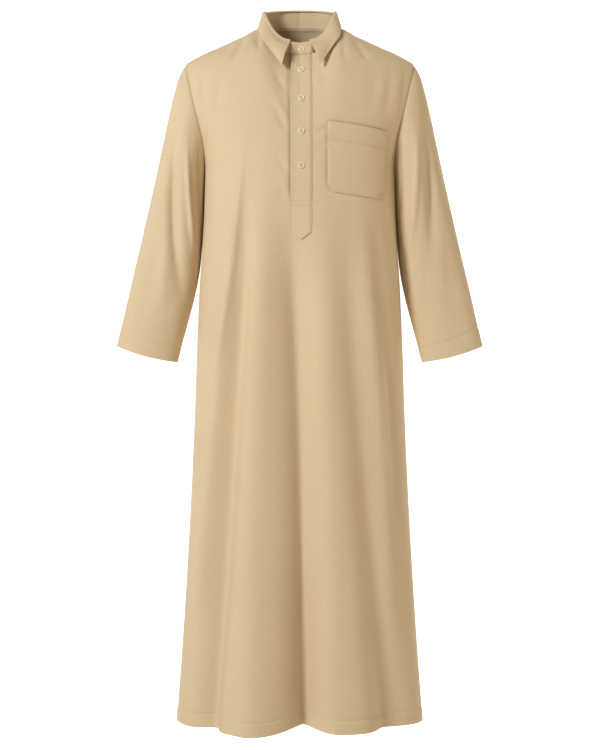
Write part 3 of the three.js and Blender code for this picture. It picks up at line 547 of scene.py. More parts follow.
def seam_around() -> float:
    """The angle round the neckline at which the yoke's front seams meet it."""
    around = np.linspace(30, 180, 600)
    # The seam starts just inside the neckline's widest place.
    return float(np.interp(seam_over(NECK_ACROSS * 0.97), neck_over(around), around))


SEAM_AROUND = seam_around()
NECK_EDGE = NECK_ACROSS * math.sin(math.radians(SEAM_AROUND))


# ---- meshes


def new_mesh(name: str, bm: bmesh.types.BMesh) -> bpy.types.Mesh:
    """A new mesh from a bmesh, which is freed."""
    mesh = bpy.data.meshes.new(name)
    bm.to_mesh(mesh)
    bm.free()
    return mesh


def add_object(name: str, data: bpy.types.ID) -> Object:
    """Adds an object with its data to the scene."""
    obj = bpy.data.objects.new(name, data)
    bpy.context.scene.collection.objects.link(obj)
    return obj


def shade_smooth(mesh: bpy.types.Mesh) -> None:
    """Shades all faces of a mesh smooth."""
    mesh.polygons.foreach_set("use_smooth", np.ones(len(mesh.polygons), bool))


def add_piece(name: str, mesh: bpy.types.Mesh, material: Material) -> Object:
    """Adds a smooth-shaded piece of the garment, which rides on the part's one body."""
    shade_smooth(mesh)
    mesh.materials.append(material)
    obj = add_object(name, mesh)
    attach(obj, "root")
    return obj


@dataclass
class Cloth:
    """A grid of points on the outer face of a cloth piece. A ring repeats its first column at its end."""

    points: Array
    ring: bool = False
    cut: Array | None = None
    edge_steps: ClassVar[int] = 2
    edge_angle: ClassVar[float] = 60.0
    joined_within: ClassVar[float] = 1e-6

    def normals(self) -> Array:
        """The directions out of the grid, from each point's neighbours."""
        p = self.points
        down = np.gradient(p, axis=0)
        if self.ring:
            wide = np.concatenate([p[:, -2:-1], p, p[:, 1:2]], axis=1)
            along = (wide[:, 2:] - wide[:, :-2]) / 2
        else:
            along = np.gradient(p, axis=1)
        return unit(np.cross(down, along))

    def lengths(self) -> Array:
        """Each point's place in the cloth as it lies flat, in millimetres: along its row, and down."""
        along = lengths_along(self.points, 1)
        along -= along[:, self.points.shape[1] // 2][:, None]
        return np.stack([along, -lengths_along(self.points, 0)], axis=-1)

    def build(self, name: str, thick: float, round_edge: float, material: Material) -> Object:
        """Makes the piece.

        Args:
            name: its object's name.
            thick: the cloth's thickness, which grows inwards.
            round_edge: the radius of its rounded edges.
            material: its material.

        Returns:
            The new object.
        """
        rows, columns = self.points.shape[:2]
        bm = bmesh.new()
        bmesh.ops.create_grid(bm, x_segments=columns - 1, y_segments=rows - 1, size=1)
        mesh = new_mesh(name, bm)
        mesh.vertices.foreach_set("co", (self.points * MM).astype(np.float32).ravel())
        layer = mesh.uv_layers.new(name="Flat")
        corner = np.zeros(len(mesh.loops), np.int32)
        mesh.loops.foreach_get("vertex_index", corner)
        flat = self.lengths().reshape(-1, 2) * MM
        layer.data.foreach_set("uv", flat[corner].astype(np.float32).ravel())
        bm = bmesh.new()
        bm.from_mesh(mesh)
        if self.cut is not None:
            bm.faces.ensure_lookup_table()
            gone = [bm.faces[i] for i in np.flatnonzero(self.cut.ravel())]
            bmesh.ops.delete(bm, geom=gone, context="FACES")
        if self.ring:
            bmesh.ops.remove_doubles(bm, verts=bm.verts, dist=self.joined_within)
        bm.to_mesh(mesh)
        bm.free()
        obj = add_piece(name, mesh, material)
        wall = obj.modifiers.new("Wall", "SOLIDIFY")
        wall.thickness, wall.offset = thick * MM, -1.0
        edge = obj.modifiers.new("Edge", "BEVEL")
        edge.width, edge.segments, edge.limit_method = round_edge * MM, self.edge_steps, "ANGLE"
        edge.angle_limit = math.radians(self.edge_angle)
        return obj


@dataclass
class Thread:
    """Rows of machine stitches on a cloth piece."""

    # Real thread is 0.3 mm wide. It is drawn wider, so that the rows of stitches show.
    pitch: float = 3.0
    length: float = 2.3
    wide: float = 0.75
    rows: list[tuple[Array, Array]] = field(default_factory=list)

    def sew(self, points: Array, outs: Array) -> None:
        """Adds a row of stitches along points of the cloth, given with the directions out of it."""
        self.rows.append((np.asarray(points, float), np.asarray(outs, float)))

    def stitch(self, cloth: Cloth, row: int | slice, column: int | slice = slice(None)) -> None:
        """Adds a row of stitches along a row or a column of a cloth's points."""
        self.sew(cloth.points[row, column], cloth.normals()[row, column])

    def build(self, name: str, material: Material) -> Object:
        """Makes every stitch a small rounded bar that lies along its row."""
        bm = bmesh.new()
        for points, outs in self.rows:
            run = lengths_along(points, 0)
            count = max(1, int(run[-1] // self.pitch))
            middles = (np.arange(count) + 0.5) * run[-1] / count
            centres, normals = between_rows(middles, run, points), unit(between_rows(middles, run, outs))
            ends = [between_rows(middles + step, run, points) for step in (-0.5, 0.5)]
            tangents = unit(ends[1] - ends[0])
            size = Matrix.Diagonal((self.length / 2 * MM, self.wide / 2 * MM, self.wide / 2 * MM, 1))
            for centre, normal, tangent in zip(centres, normals, tangents):
                turn = Matrix((tangent, np.cross(normal, tangent), normal)).transposed().to_4x4()
                place = Matrix.Translation(Vector(centre * MM)) @ turn @ size
                bmesh.ops.create_icosphere(bm, subdivisions=1, radius=1, matrix=place)
        return add_piece(name, new_mesh(name, bm), material)


# ---- finishes


def srgb(colour: int) -> tuple[float, float, float, float]:
    """A hex colour in sRGB as linear red, green, blue and alpha."""
    parts = [(colour >> shift & 255) / 255 for shift in (16, 8, 0)]
    linear = [c / 12.92 if c <= 0.04045 else ((c + 0.055) / 1.055) ** 2.4 for c in parts]
    return (*linear, 1.0)


def set_inputs(tree: bpy.types.NodeTree, node: bpy.types.Node, inputs: dict) -> None:
    """Sets a node's inputs, by name or number, to values or to other nodes' output sockets."""
    for name, value in inputs.items():
        if isinstance(value, Socket):
            tree.links.new(value, node.inputs[name])
        else:
            node.inputs[name].default_value = value


class Paint:
    """A new material, and what adds its nodes. Each method that adds a texture or a step returns its output."""

    def __init__(self, name: str) -> None:
        """Makes the material with an empty shader."""
        self.material = bpy.data.materials.new(name)
        self.material.use_nodes = True
        self.tree = self.material.node_tree
        self.tree.nodes.clear()
        self.shader = self.add("BsdfPrincipled")
        self.add("OutputMaterial", {"Surface": self.shader.outputs["BSDF"]})

    def add(self, kind: str, inputs: dict | None = None, **settings: object) -> bpy.types.Node:
        """Adds a node.

        Args:
            kind: the end of the node's type, after ShaderNode.
            inputs: values or output sockets for its inputs, by name or number.
            **settings: its own settings.

        Returns:
            The node.
        """
        node = self.tree.nodes.new(f"ShaderNode{kind}")
        for name, value in settings.items():
            setattr(node, name, value)
        set_inputs(self.tree, node, inputs or {})
        return node

    def place(self, kind: str) -> Socket:
        """The surface's coordinates of a kind."""
        return self.add("TexCoord").outputs[kind]

    def noise(self, place: Socket, scale: float, detail: float, distortion: float = 0.0) -> Socket:
        """A noise texture."""
        inputs = {"Vector": place, "Scale": scale, "Detail": detail, "Distortion": distortion}
        return self.add("TexNoise", inputs).outputs["Fac"]

    def ramp(self, share: Socket, places: Sequence[float], colours: Sequence[int]) -> Socket:
        """A ramp between hex colours at rising places."""
        node = self.add("ValToRGB", {"Fac": share})
        elements = node.color_ramp.elements
        elements[0].position, elements[1].position = places[0], places[-1]
        for place in places[1:-1]:
            elements.new(place)
        for element, colour in zip(elements, colours):
            element.color = srgb(colour)
        return node.outputs["Color"]

    def mapped(self, value: Socket, before: Pair, after: Pair) -> Socket:
        """One range of values mapped on another."""
        ends = dict(zip(("From Min", "From Max", "To Min", "To Max"), (*before, *after)))
        return self.add("MapRange", {"Value": value, **ends}).outputs[0]

    def shaded(self, colour: Socket, scale: Socket) -> Socket:
        """A colour made darker or lighter."""
        return self.add("VectorMath", {0: colour, "Scale": scale}, operation="SCALE").outputs[0]

    def finish(self, **inputs: object) -> Material:
        """Sets the shader's inputs, named with _ for each space, and returns the material."""
        set_inputs(self.tree, self.shader, {name.replace("_", " "): value for name, value in inputs.items()})
        return self.material


@dataclass(frozen=True)
class WovenCloth:
    """A fine, smooth suiting of polyester and viscose: plain woven, with a dry hand and a faint sheen.

    The scales of its noises are in turns for each metre of the flat cloth, and its depths in millimetres.
    """

    name: str = "polyester_viscose_suiting"
    light: int = 0xDAC49E
    base: int = 0xD7C099
    dark: int = 0xD3BB94
    # Where the dark, the base and the light lie in the yarns' mixed noise.
    tones_at: Triple = (0.36, 0.5, 0.64)
    # Its yarns lie 0.3 mm apart. They are drawn 0.9 mm apart, so that the weave shows in a close view.
    yarn: float = 0.9
    weave_depth: float = 0.05
    # Thicker places in the yarns, as short streaks along the warp.
    slub_scales: Triple = (900, 60, 1)
    slub_depth: float = 0.05
    grain_scale: float = 420.0
    cloud_scale: float = 7.0
    cloud_shades: Pair = (0.985, 1.015)
    ripple_scale: float = 45.0
    ripple_depth: float = 0.12
    roughness: float = 0.82
    specular: float = 0.3
    sheen: float = 0.12
    sheen_roughness: float = 0.5

    def weave(self, paint: Paint, flat: Socket) -> Socket:
        """The height of the warp and the weft, as two sets of crossed bands."""
        # A band texture of scale 1 repeats 20 times in a length of 2 pi.
        scale = 2 * math.pi / 20 / (self.yarn * MM)
        inputs = {"Vector": flat, "Scale": scale, "Distortion": 0.6, "Detail": 1.0, "Detail Scale": 1.5}
        warp, weft = (
            paint.add("TexWave", inputs, wave_type="BANDS", bands_direction=way).outputs["Fac"] for way in "XY"
        )
        return paint.add("Math", {0: warp, 1: weft}, operation="MULTIPLY").outputs[0]

    def build(self) -> Material:
        """Makes the material."""
        paint = Paint(self.name)
        flat = paint.place("UV")
        weave = self.weave(paint, flat)
        stretched = paint.add("Mapping", {"Vector": flat, "Scale": self.slub_scales}).outputs[0]
        slub, grain = paint.noise(stretched, 1.0, 3.0), paint.noise(flat, self.grain_scale, 4.0)
        cloud, ripple = paint.noise(flat, self.cloud_scale, 3.0), paint.noise(flat, self.ripple_scale, 2.0)
        mixed = paint.add("Mix", {0: 0.5, 2: slub, 3: grain}, data_type="FLOAT").outputs[0]
        tones = paint.ramp(mixed, self.tones_at, (self.dark, self.base, self.light))
        bump = {}
        for height, depth in ((weave, self.weave_depth), (slub, self.slub_depth), (ripple, self.ripple_depth)):
            inputs = {"Height": height, "Distance": depth * MM, "Strength": 1.0, **bump}
            bump = {"Normal": paint.add("Bump", inputs).outputs["Normal"]}
        return paint.finish(
            Base_Color=paint.shaded(tones, paint.mapped(cloud, (0.3, 0.7), self.cloud_shades)),
            Roughness=self.roughness,
            Specular_IOR_Level=self.specular,
            Sheen_Weight=self.sheen,
            Sheen_Roughness=self.sheen_roughness,
            **bump,
        )


@dataclass(frozen=True)
class SewingThread:
    """Spun polyester sewing thread: matt, and dark enough, with painted shade, that its fine rows show on the
    cloth.
    """

    name: str = "spun_polyester_thread"
    # Partly the thread's own colour, and partly painted shade of the grooves that the stitches lie in.
    base: int = 0x86693C
    # The twist of the plies, 0.4 mm long.
    twist_scale: float = 780.0
    twist_depth: float = 0.05
    roughness: float = 0.7

    def build(self) -> Material:
        """Makes the material."""
        paint = Paint(self.name)
        inputs = {"Vector": paint.place("Object"), "Scale": self.twist_scale, "Distortion": 1.0}
        twist = paint.add("TexWave", inputs, bands_direction="DIAGONAL").outputs["Fac"]
        bump = paint.add("Bump", {"Height": twist, "Distance": self.twist_depth * MM}).outputs["Normal"]
        return paint.finish(Base_Color=srgb(self.base), Roughness=self.roughness, Normal=bump)


@dataclass(frozen=True)
class MouldedButton:
    """Cast polyester button stock, turned and tumbled: a satin gloss with faint clouds in it.

    Its dish, which the attribute `dish` marks, is painted darker, as painted shade under the rim.
    """

    name: str = "cast_polyester_button"
    light: int = 0xFBF0D8
    dark: int = 0xEBDCB8
    tones_at: Pair = (0.3, 0.7)
    cloud_scale: float = 260.0
    # The dish's colour is multiplied by this: painted shade under the rim.
    dish_painted_shade: float = 0.6
    roughness: float = 0.32

    def build(self) -> Material:
        """Makes the material."""
        paint = Paint(self.name)
        cloud = paint.noise(paint.place("Object"), self.cloud_scale, 3.0, 1.2)
        tones = paint.ramp(cloud, self.tones_at, (self.dark, self.light))
        dish = paint.add("Attribute", attribute_name="dish").outputs["Fac"]
        shade = paint.mapped(dish, (0.0, 1.0), (1.0, self.dish_painted_shade))
        return paint.finish(Base_Color=paint.shaded(tones, shade), Roughness=self.roughness)


@dataclass(frozen=True)
class Finishes:
    """The garment's materials."""

    cloth: Material
    thread: Material
    button: Material


# ---- cut and seams


@dataclass(frozen=True)
class Cut:
    """How a cloth piece is cut, and how its shell is made.

    Its flat size and its area, as it shows, are in metres. Its thickness and its edges' radius are in
    millimetres.
    """

    node: str
    flat: Pair
    area: float
    held: str = "hung"
    thick: float = 1.2
    round_edge: float = 0.35

    def add(
        self, cloth: Cloth, finishes: Finishes, thread: Thread | None = None, sewn: str = "stitches"
    ) -> None:
        """Adds the piece and its stitches, hides its node's part in the solid, and logs the piece.

        Args:
            cloth: the piece's shape.
            finishes: the garment's materials.
            thread: the rows of stitches on it.
            sewn: what the stitches are called.
        """
        obj = cloth.build(f"{self.node}_cloth", self.thick, self.round_edge, finishes.cloth)
        stitches = [thread.build(f"{self.node}_{sewn}", finishes.thread)] if thread else []
        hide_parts(self.node)
        report(obj)


def report(obj: Object) -> None:
    """Logs a piece with its size."""
    faces = obj.data.polygons
    LOG.info("%s: %d faces, outer face %.4f m2", obj.name, len(faces), sum(face.area for face in faces))


def dip(distance: Array, wide: float, deep: float) -> Array:
    """How far a stitched line draws the cloth in, by the distance from it."""
    return -deep * band(distance, wide)


# ---- front and back

# Places across a panel are spread by this power, so that they lie closer where the section turns round.
SPREAD = 1.1


def spread(start: float, end: float, count: int) -> Array:
    """Places across from one edge to another, closer together where the section turns round."""
    angles = [math.asin(math.copysign(abs(place) ** SPREAD, place)) for place in (start, end)]
    sine = np.sin(np.linspace(*angles, count + 1))
    return np.sign(sine) * np.abs(sine) ** (1 / SPREAD)


@dataclass
class BodyPanels:
    """The front and the back, which hang from the yoke and the neckline to the hem."""

    front_cut: Cut = Cut("front", (0.66, 1.40), 0.76)
    back_cut: Cut = Cut("back", (0.65, 1.27), 0.70)
    opening: Pair = (-0.062, 0.098)
    opening_foot: float = -345.0
    opening_columns: int = 12
    # The front's foot rises in its middle, by this much over these widths and heights.
    hem_lift: float = 8.0
    hem_lift_wide: float = 42.0
    hem_lift_top: float = -1150.0
    hem_deep: float = 26.0
    # The rows near the hem's stitches, above them and below.
    hem_lines: Floats = (4, 2.4, 1.2, 0, -1.2, -2.4, -5, -9, -13, -17, -20.5, -23.2, -25, -26)
    # The front sinks below its seam with the yoke: how far below, over what width, and how deep.
    seam_dip: Triple = (2.0, 2.6, 1.3)
    # The stitches of the hems: over what width they draw them in, and how deep.
    stitch_dip: Pair = (2.0, 1.1)
    # How far the turned cloth lifts the hem, and how high its waves are.
    hem_fold: float = 0.7
    hem_wave: float = 0.72
    # The start of each hem's waves, front and back.
    hem_seeds: Pair = (0.7, 2.9)
    columns: int = 150
    upper_rows: int = 96
    lower_rows: int = 150

    def hem_rows(self) -> Array:
        """The heights of the rows below the underarm, which lie close together at the hem's stitches."""
        plain = np.linspace(CHEST, HEM + self.hem_deep + 8, self.lower_rows)
        plain[nearest(plain, self.opening_foot)] = self.opening_foot
        return np.concatenate([plain, HEM + self.hem_deep + np.array(self.hem_lines)])

    def hem_rise(self, points: Array, heights: Array, seed: float) -> Array:
        """How the hem's fold and stitches move the cloth, at points with heights before the hem's lift."""
        above = heights - HEM
        past = above - self.hem_deep
        # The waves run aslant over the stitches and die out above and below them.
        waves = pucker(lengths_along(points, 1) + 0.35 * past, seed) * band(past + 4, 11)
        fold = self.hem_fold * ease(self.hem_deep + 1, self.hem_deep - 2, above)
        return dip(past, *self.stitch_dip) + fold + self.hem_wave * waves

    def skin(self, side: Side, across: Array, overs: Array) -> tuple[Array, Array, Array]:
        """A panel without its folds.

        Args:
            side: the front or the back.
            across: the places across.
            overs: the angles over the shoulder of the rows above the underarm.

        Returns:
            The points, the directions out of them, and the heights of the rows below the underarm.
        """
        heights = self.hem_rows()[:, None]
        upper, lower = FORM.upper_skin(across[None], overs), FORM.lower(side, across[None], heights)
        points, outs = (np.concatenate(pair) for pair in zip(upper, lower))
        return points, outs, heights

    def front(self, finishes: Finishes) -> None:
        """Makes the front with its opening for the placket."""
        share = self.columns // 2
        left, right = spread(-1, self.opening[0], share), spread(self.opening[1], 1, share)
        between = np.linspace(*self.opening, self.opening_columns + 2)[1:-1]
        across = np.concatenate([left, between, right])
        for edge in (-NECK_EDGE, NECK_EDGE):
            across[nearest(across, edge)] = edge
        side = np.abs(across)
        neck = neck_over(np.degrees(np.arcsin(np.clip(side / NECK_ACROSS, 0, 1))))
        # The seam's gap is 0.12 degrees wide.
        top = np.where(side >= NECK_EDGE, seam_over(across) - 0.12, neck)
        top_height = FORM.upper(across, top)[:, 2]
        down = np.linspace(0, 1, self.upper_rows)[:-1, None] ** SPREAD
        overs = FORM.over_at(across[None], mix(top_height[None], CHEST, down), Side.FRONT)
        overs[0] = top
        smooth, outs, heights = self.skin(Side.FRONT, across, overs)
        points = FORM.folded(Side.FRONT, smooth, outs) + outs * crease_rise(smooth, FORM.grooves)[..., None]
        high, low = points[: len(overs)], points[len(overs) :]
        below = np.linalg.norm(high - points[:1], axis=-1)
        place, wide, deep = self.seam_dip
        high += outs[: len(overs)] * (dip(below - place, wide, deep) * (side >= NECK_EDGE))[..., None]
        low += outs[len(overs) :] * self.hem_rise(low, heights, self.hem_seeds[0])[..., None]
        lift = self.hem_lift * band(low[..., 0], self.hem_lift_wide)
        low[..., 2] += lift * ease(self.hem_lift_top, HEM, heights)
        points[..., 1] -= SEAM / 2
        cut = np.zeros((len(points) - 1, len(across) - 1), bool)
        cut[:, share : share + len(between) + 1] = (points[1:, 0, 2] > self.opening_foot - 1)[:, None]
        self.add(self.front_cut, Cloth(points, cut=cut), heights, finishes)

    def back(self, finishes: Finishes) -> None:
        """Makes the back."""
        across = spread(1, -1, self.columns)
        start = FORM.over_at(across, np.full_like(across, YOKE_SEAM - SEAM), Side.BACK)
        overs = mix(start[None], 180.0, np.linspace(0, 1, self.upper_rows // 2)[:-1, None])
        smooth, outs, heights = self.skin(Side.BACK, across, overs)
        points = FORM.folded(Side.BACK, smooth, outs)
        low = points[len(overs) :]
        low += outs[len(overs) :] * self.hem_rise(low, heights, self.hem_seeds[1])[..., None]
        points[..., 1] += SEAM / 2
        self.add(self.back_cut, Cloth(points), heights, finishes)

    def add(self, cut: Cut, cloth: Cloth, heights: Array, finishes: Finishes) -> None:
        """Adds a panel with the stitches of its hem, whose lower rows were laid at `heights`."""
        row = len(cloth.points) - len(heights) + nearest(heights[:, 0] - HEM, self.hem_deep)
        thread = Thread()
        thread.stitch(cloth, row)
        cut.add(cloth, finishes, thread, "hem_stitches")


# ---- yoke


@dataclass
class Yoke:
    """The yoke, from the front seams and the neckline over the shoulders to the seam across the back."""

    cut: Cut = Cut("yoke", (0.52, 0.2), 0.066)
    # The place across, on the seam of the back, that the front seam's inner end runs to.
    corner: float = 0.48
    shoulder: int = 44
    neck: int = 40
    rows: int = 60
    # The rows near each edge, as shares of the way down.
    edge_rows: Floats = (0, 0.012, 0.028, 0.05)
    # The dip beside the edges: how far inside them, over what width, and how deep.
    seam_dip: Triple = (2.8, 1.7, 0.9)
    stitched_row: int = 2

    def build(self, finishes: Finishes) -> None:
        """Makes the yoke and its two rows of topstitching."""
        share, neck_share = np.linspace(0, 1, self.shoulder), np.linspace(0, 1, self.neck)[1:]
        side = mix(1.0, NECK_EDGE, share)
        around = mix(SEAM_AROUND, 180.0, neck_share)
        across = np.concatenate([side, NECK_ACROSS * np.sin(np.radians(around))])
        over = np.concatenate([seam_over(side), neck_over(around)])
        foot = np.concatenate([mix(1.0, self.corner, share), mix(self.corner, 0.0, neck_share)])
        across = np.concatenate([across, -across[-2::-1]])
        over, foot = np.concatenate([over, over[-2::-1]]), np.concatenate([foot, -foot[-2::-1]])
        edge = np.array(self.edge_rows)
        down = np.concatenate([edge, np.linspace(0.08, 0.92, self.rows), 1 - edge[::-1]])[:, None]
        end = FORM.over_at(foot, np.full_like(foot, YOKE_SEAM), Side.BACK)
        place, angle = mix(across[None], foot[None], down), mix(over[None], end[None], down)
        points, outs = FORM.upper_skin(place, angle)
        points = points + outs * crease_rise(points, FORM.lines[Side.FRONT] + FORM.lines[Side.BACK])[..., None]
        inside = np.minimum(*(np.linalg.norm(points - points[row], axis=-1) for row in ([0], [-1])))
        far, wide, deep = self.seam_dip
        points = points + outs * dip(inside - far, wide, deep)[..., None]
        points[..., 1] += SEAM / 2
        cloth, thread = Cloth(points), Thread()
        row, count = self.stitched_row, self.shoulder - 2
        for part in (slice(1, count), slice(-count, -1)):
            thread.stitch(cloth, row, part)
        thread.stitch(cloth, -1 - row)
        self.cut.add(cloth, finishes, thread)


# ---- sleeves


@dataclass
class Sleeve:
    """A plain sleeve that hangs from the armhole to an open cuff."""

    name: str
    sign: int
    flat: Pair = (0.54, 0.60)
    area: float = 0.18
    length: float = 600.0
    cuff_deep: float = 38.0
    cuff_dip: float = 5.0
    # Half the width of the sleeve at its top and at its cuff, as its creases are placed on it.
    half_wide: Pair = (115.0, 60.0)
    # Rows are laid at these distances down from the cuff's stitches, and from the armhole and the end.
    cuff_lines: Floats = (-4, -2.4, -1.2, 0, 1.2, 2.4)
    armhole_lines: Floats = (1.5, 3, 4.5, 6, 8)
    end_line: float = 2.0
    # The cloth sinks beside the armhole's seam: how far below it, over what width, and how deep.
    seam_dip: Triple = (4.0, 3.0, 2.4)
    # The cuff's stitches, its turned cloth and its waves, as on the body's hems.
    stitch_dip: Pair = (2.0, 1.0)
    hem_fold: float = 0.6
    hem_wave: float = 0.56
    # The arm's radius, by which an angle round the cuff becomes a length along its waves.
    radius: float = 60.0
    # The share of the length over which the sleeve's section takes the form of the armhole.
    armhole_share: float = 0.3
    # How far the sleeve keeps off the body's side, on its first row and below.
    clear: Pair = (0.45, 1.2)
    armhole_steps: int = 60
    columns: int = 132
    rows: int = 120
    # Long folds: from and to which share of the length, at which angles round, how wide, and how high.
    folds: tuple[Floats, ...] = (
        (0.3, 0.98, 62, 70, 16, -3),
        (0.05, 0.7, 248, 226, 18, -7),
        (0.2, 0.95, 282, 262, 16, 4),
    )

    def surface(self, along: Array, around: Array) -> Array:
        """The sleeve's points by the share of its length and the angle round it, on the side of +X."""
        outer_x, outer_z, inner_x, inner_z, half_depth, back = (
            SLEEVE.read(along, column) for column in SLEEVE.columns[1:]
        )
        outer, inner = stack(outer_x, 0, outer_z), stack(inner_x, 0, inner_z)
        half = (outer - inner) / 2
        rise = np.zeros(np.broadcast(along, around).shape)
        for start, end, top, foot, wide, height in self.folds:
            run = np.clip((along - start) / (end - start), 0, 1)
            rise = rise + height * np.sin(math.pi * run) * band(around - mix(top, foot, run), wide)
        lines = []
        for crease in SLEEVE_CREASES[self.sign]:
            places, strength = crease.line()
            lines.append((self.chart(places[:, 0] / self.length, places[:, 1]), strength, crease))
        rise = rise + crease_rise(self.chart(along, around), lines)
        cosine, sine = np.cos(np.radians(around)), np.sin(np.radians(around))
        long = np.linalg.norm(half, axis=-1)
        point = (outer + inner) / 2 + half * (cosine * (1 + rise / long))[..., None]
        point[..., 1] += back - sine * (half_depth + rise)
        point[..., 2] -= self.cuff_dip * sine**2 * ease(0.7, 1, along)
        return point

    def chart(self, along: Array, around: Array) -> Array:
        """Places on the sleeve as it lies flat, in millimetres: along it and round it."""
        along, around = np.broadcast_arrays(np.asarray(along, float), np.asarray(around, float))
        radius = (SLEEVE.read(along, "half_depth") + mix(*self.half_wide, along)) / 2
        return np.stack([along * self.length, np.radians(around) * radius], axis=-1)

    def armhole(self, around: Array) -> Array:
        """The armhole's points by the angle round it: up the front, over the yoke and down the back."""
        edge = np.ones(1)
        seam = seam_over(edge)[0]
        yoke_end = FORM.over_at(edge, np.array([YOKE_SEAM]), Side.BACK)[0]
        top = FORM.upper(edge, np.array([seam]))[0, 2]
        steps = self.armhole_steps
        front_over = FORM.over_at(np.ones(steps), np.linspace(CHEST, top, steps), Side.FRONT)
        overs = (front_over, np.linspace(seam, yoke_end, steps)[1:], np.linspace(yoke_end, 180, steps)[1:])
        front, over, back = (FORM.upper(np.ones(len(part)), part) for part in overs)
        loop = np.concatenate([front - (0, SEAM / 2, 0), over + (0, SEAM / 2, 0), back + (0, SEAM / 2, 0)])
        loop[0, 1] = loop[-1, 1] = 0.0
        _, _, outer_z, _, inner_z, half_depth, _ = SLEEVE.rows[0]
        up = (2 * loop[:, 2] - outer_z - inner_z) / (outer_z - inner_z)
        angle = np.degrees(np.arctan2(-loop[:, 1] / half_depth, up)) % 360
        # The angle falls all the way round, from 180 at the underarm to -180.
        angle[0], angle[-1] = 180.0, -180.0
        inner = angle[1:-1]
        angle[1:-1] = np.where(np.arange(1, len(angle) - 1) > len(front), (inner + 180) % 360 - 180, inner)
        angle = np.minimum.accumulate(angle)
        wanted = np.where(around > 180, around - 360, around)
        return between_rows(wanted, angle[::-1], loop[::-1])

    def places_along(self, cuff: float) -> Array:
        """The rows as shares of the length, close together at the armhole and at the cuff's stitches."""
        plain = np.linspace(0, 1, self.rows) ** SPREAD
        plain = plain[np.abs(plain - cuff) > 6 / self.length]
        near, top = (np.array(part) / self.length for part in (self.cuff_lines, self.armhole_lines))
        return np.unique(np.concatenate([plain, cuff + near, top, [1 - self.end_line / self.length]]))

    def seams(self, along: Array, around: Array, cuff: float) -> Array:
        """How far the stitches and the fold of the cuff, and the armhole's seam, move the cloth out."""
        below = self.length * (along - cuff)[:, None]
        run = np.radians(around)[None] * self.radius
        waves = pucker(run + 0.3 * below, 1.3 * self.sign, 9.0) * band(below, 9)
        far, wide, deep = self.seam_dip
        rise = dip(below, *self.stitch_dip) + self.hem_fold * ease(-1, 2, below) + self.hem_wave * waves
        return rise + dip(self.length * along[:, None] - far, wide, deep)

    def build(self, finishes: Finishes) -> None:
        """Makes the sleeve and the stitches of its cuff."""
        around = np.linspace(180, 540, self.columns + 1) % 360
        around[0] = around[-1] = 180.0
        cuff = 1 - self.cuff_deep / self.length
        along = self.places_along(cuff)
        points = self.surface(along[:, None], around[None])
        start = self.armhole(around)
        off = start - self.surface(np.zeros(1), around)
        points += off[None] * (1 - ease(0, self.armhole_share, along))[:, None, None]
        points += Cloth(points, ring=True).normals() * -self.seams(along, around, cuff)[..., None]
        wall = BODY.read(points[..., 2], "half_width")
        # The sleeve may lie over the body's edge where it bends round it, far before and behind the middle.
        clear = np.where(along[:, None] == 0, *self.clear) * (1 - ease(120, 160, np.abs(points[..., 1])))
        points[0, :, 0] = start[:, 0] + self.clear[0]
        points[..., 0] = np.maximum(points[..., 0], wall + clear)
        points[:, -1] = points[:, 0]
        if self.sign > 0:
            points = points[:, ::-1].copy()
        points[..., 0] *= self.sign
        cloth, thread = Cloth(points, ring=True), Thread()
        thread.stitch(cloth, nearest(along, cuff))
        Cut(self.name, self.flat, self.area).add(cloth, finishes, thread, "cuff_stitches")


# ---- collar


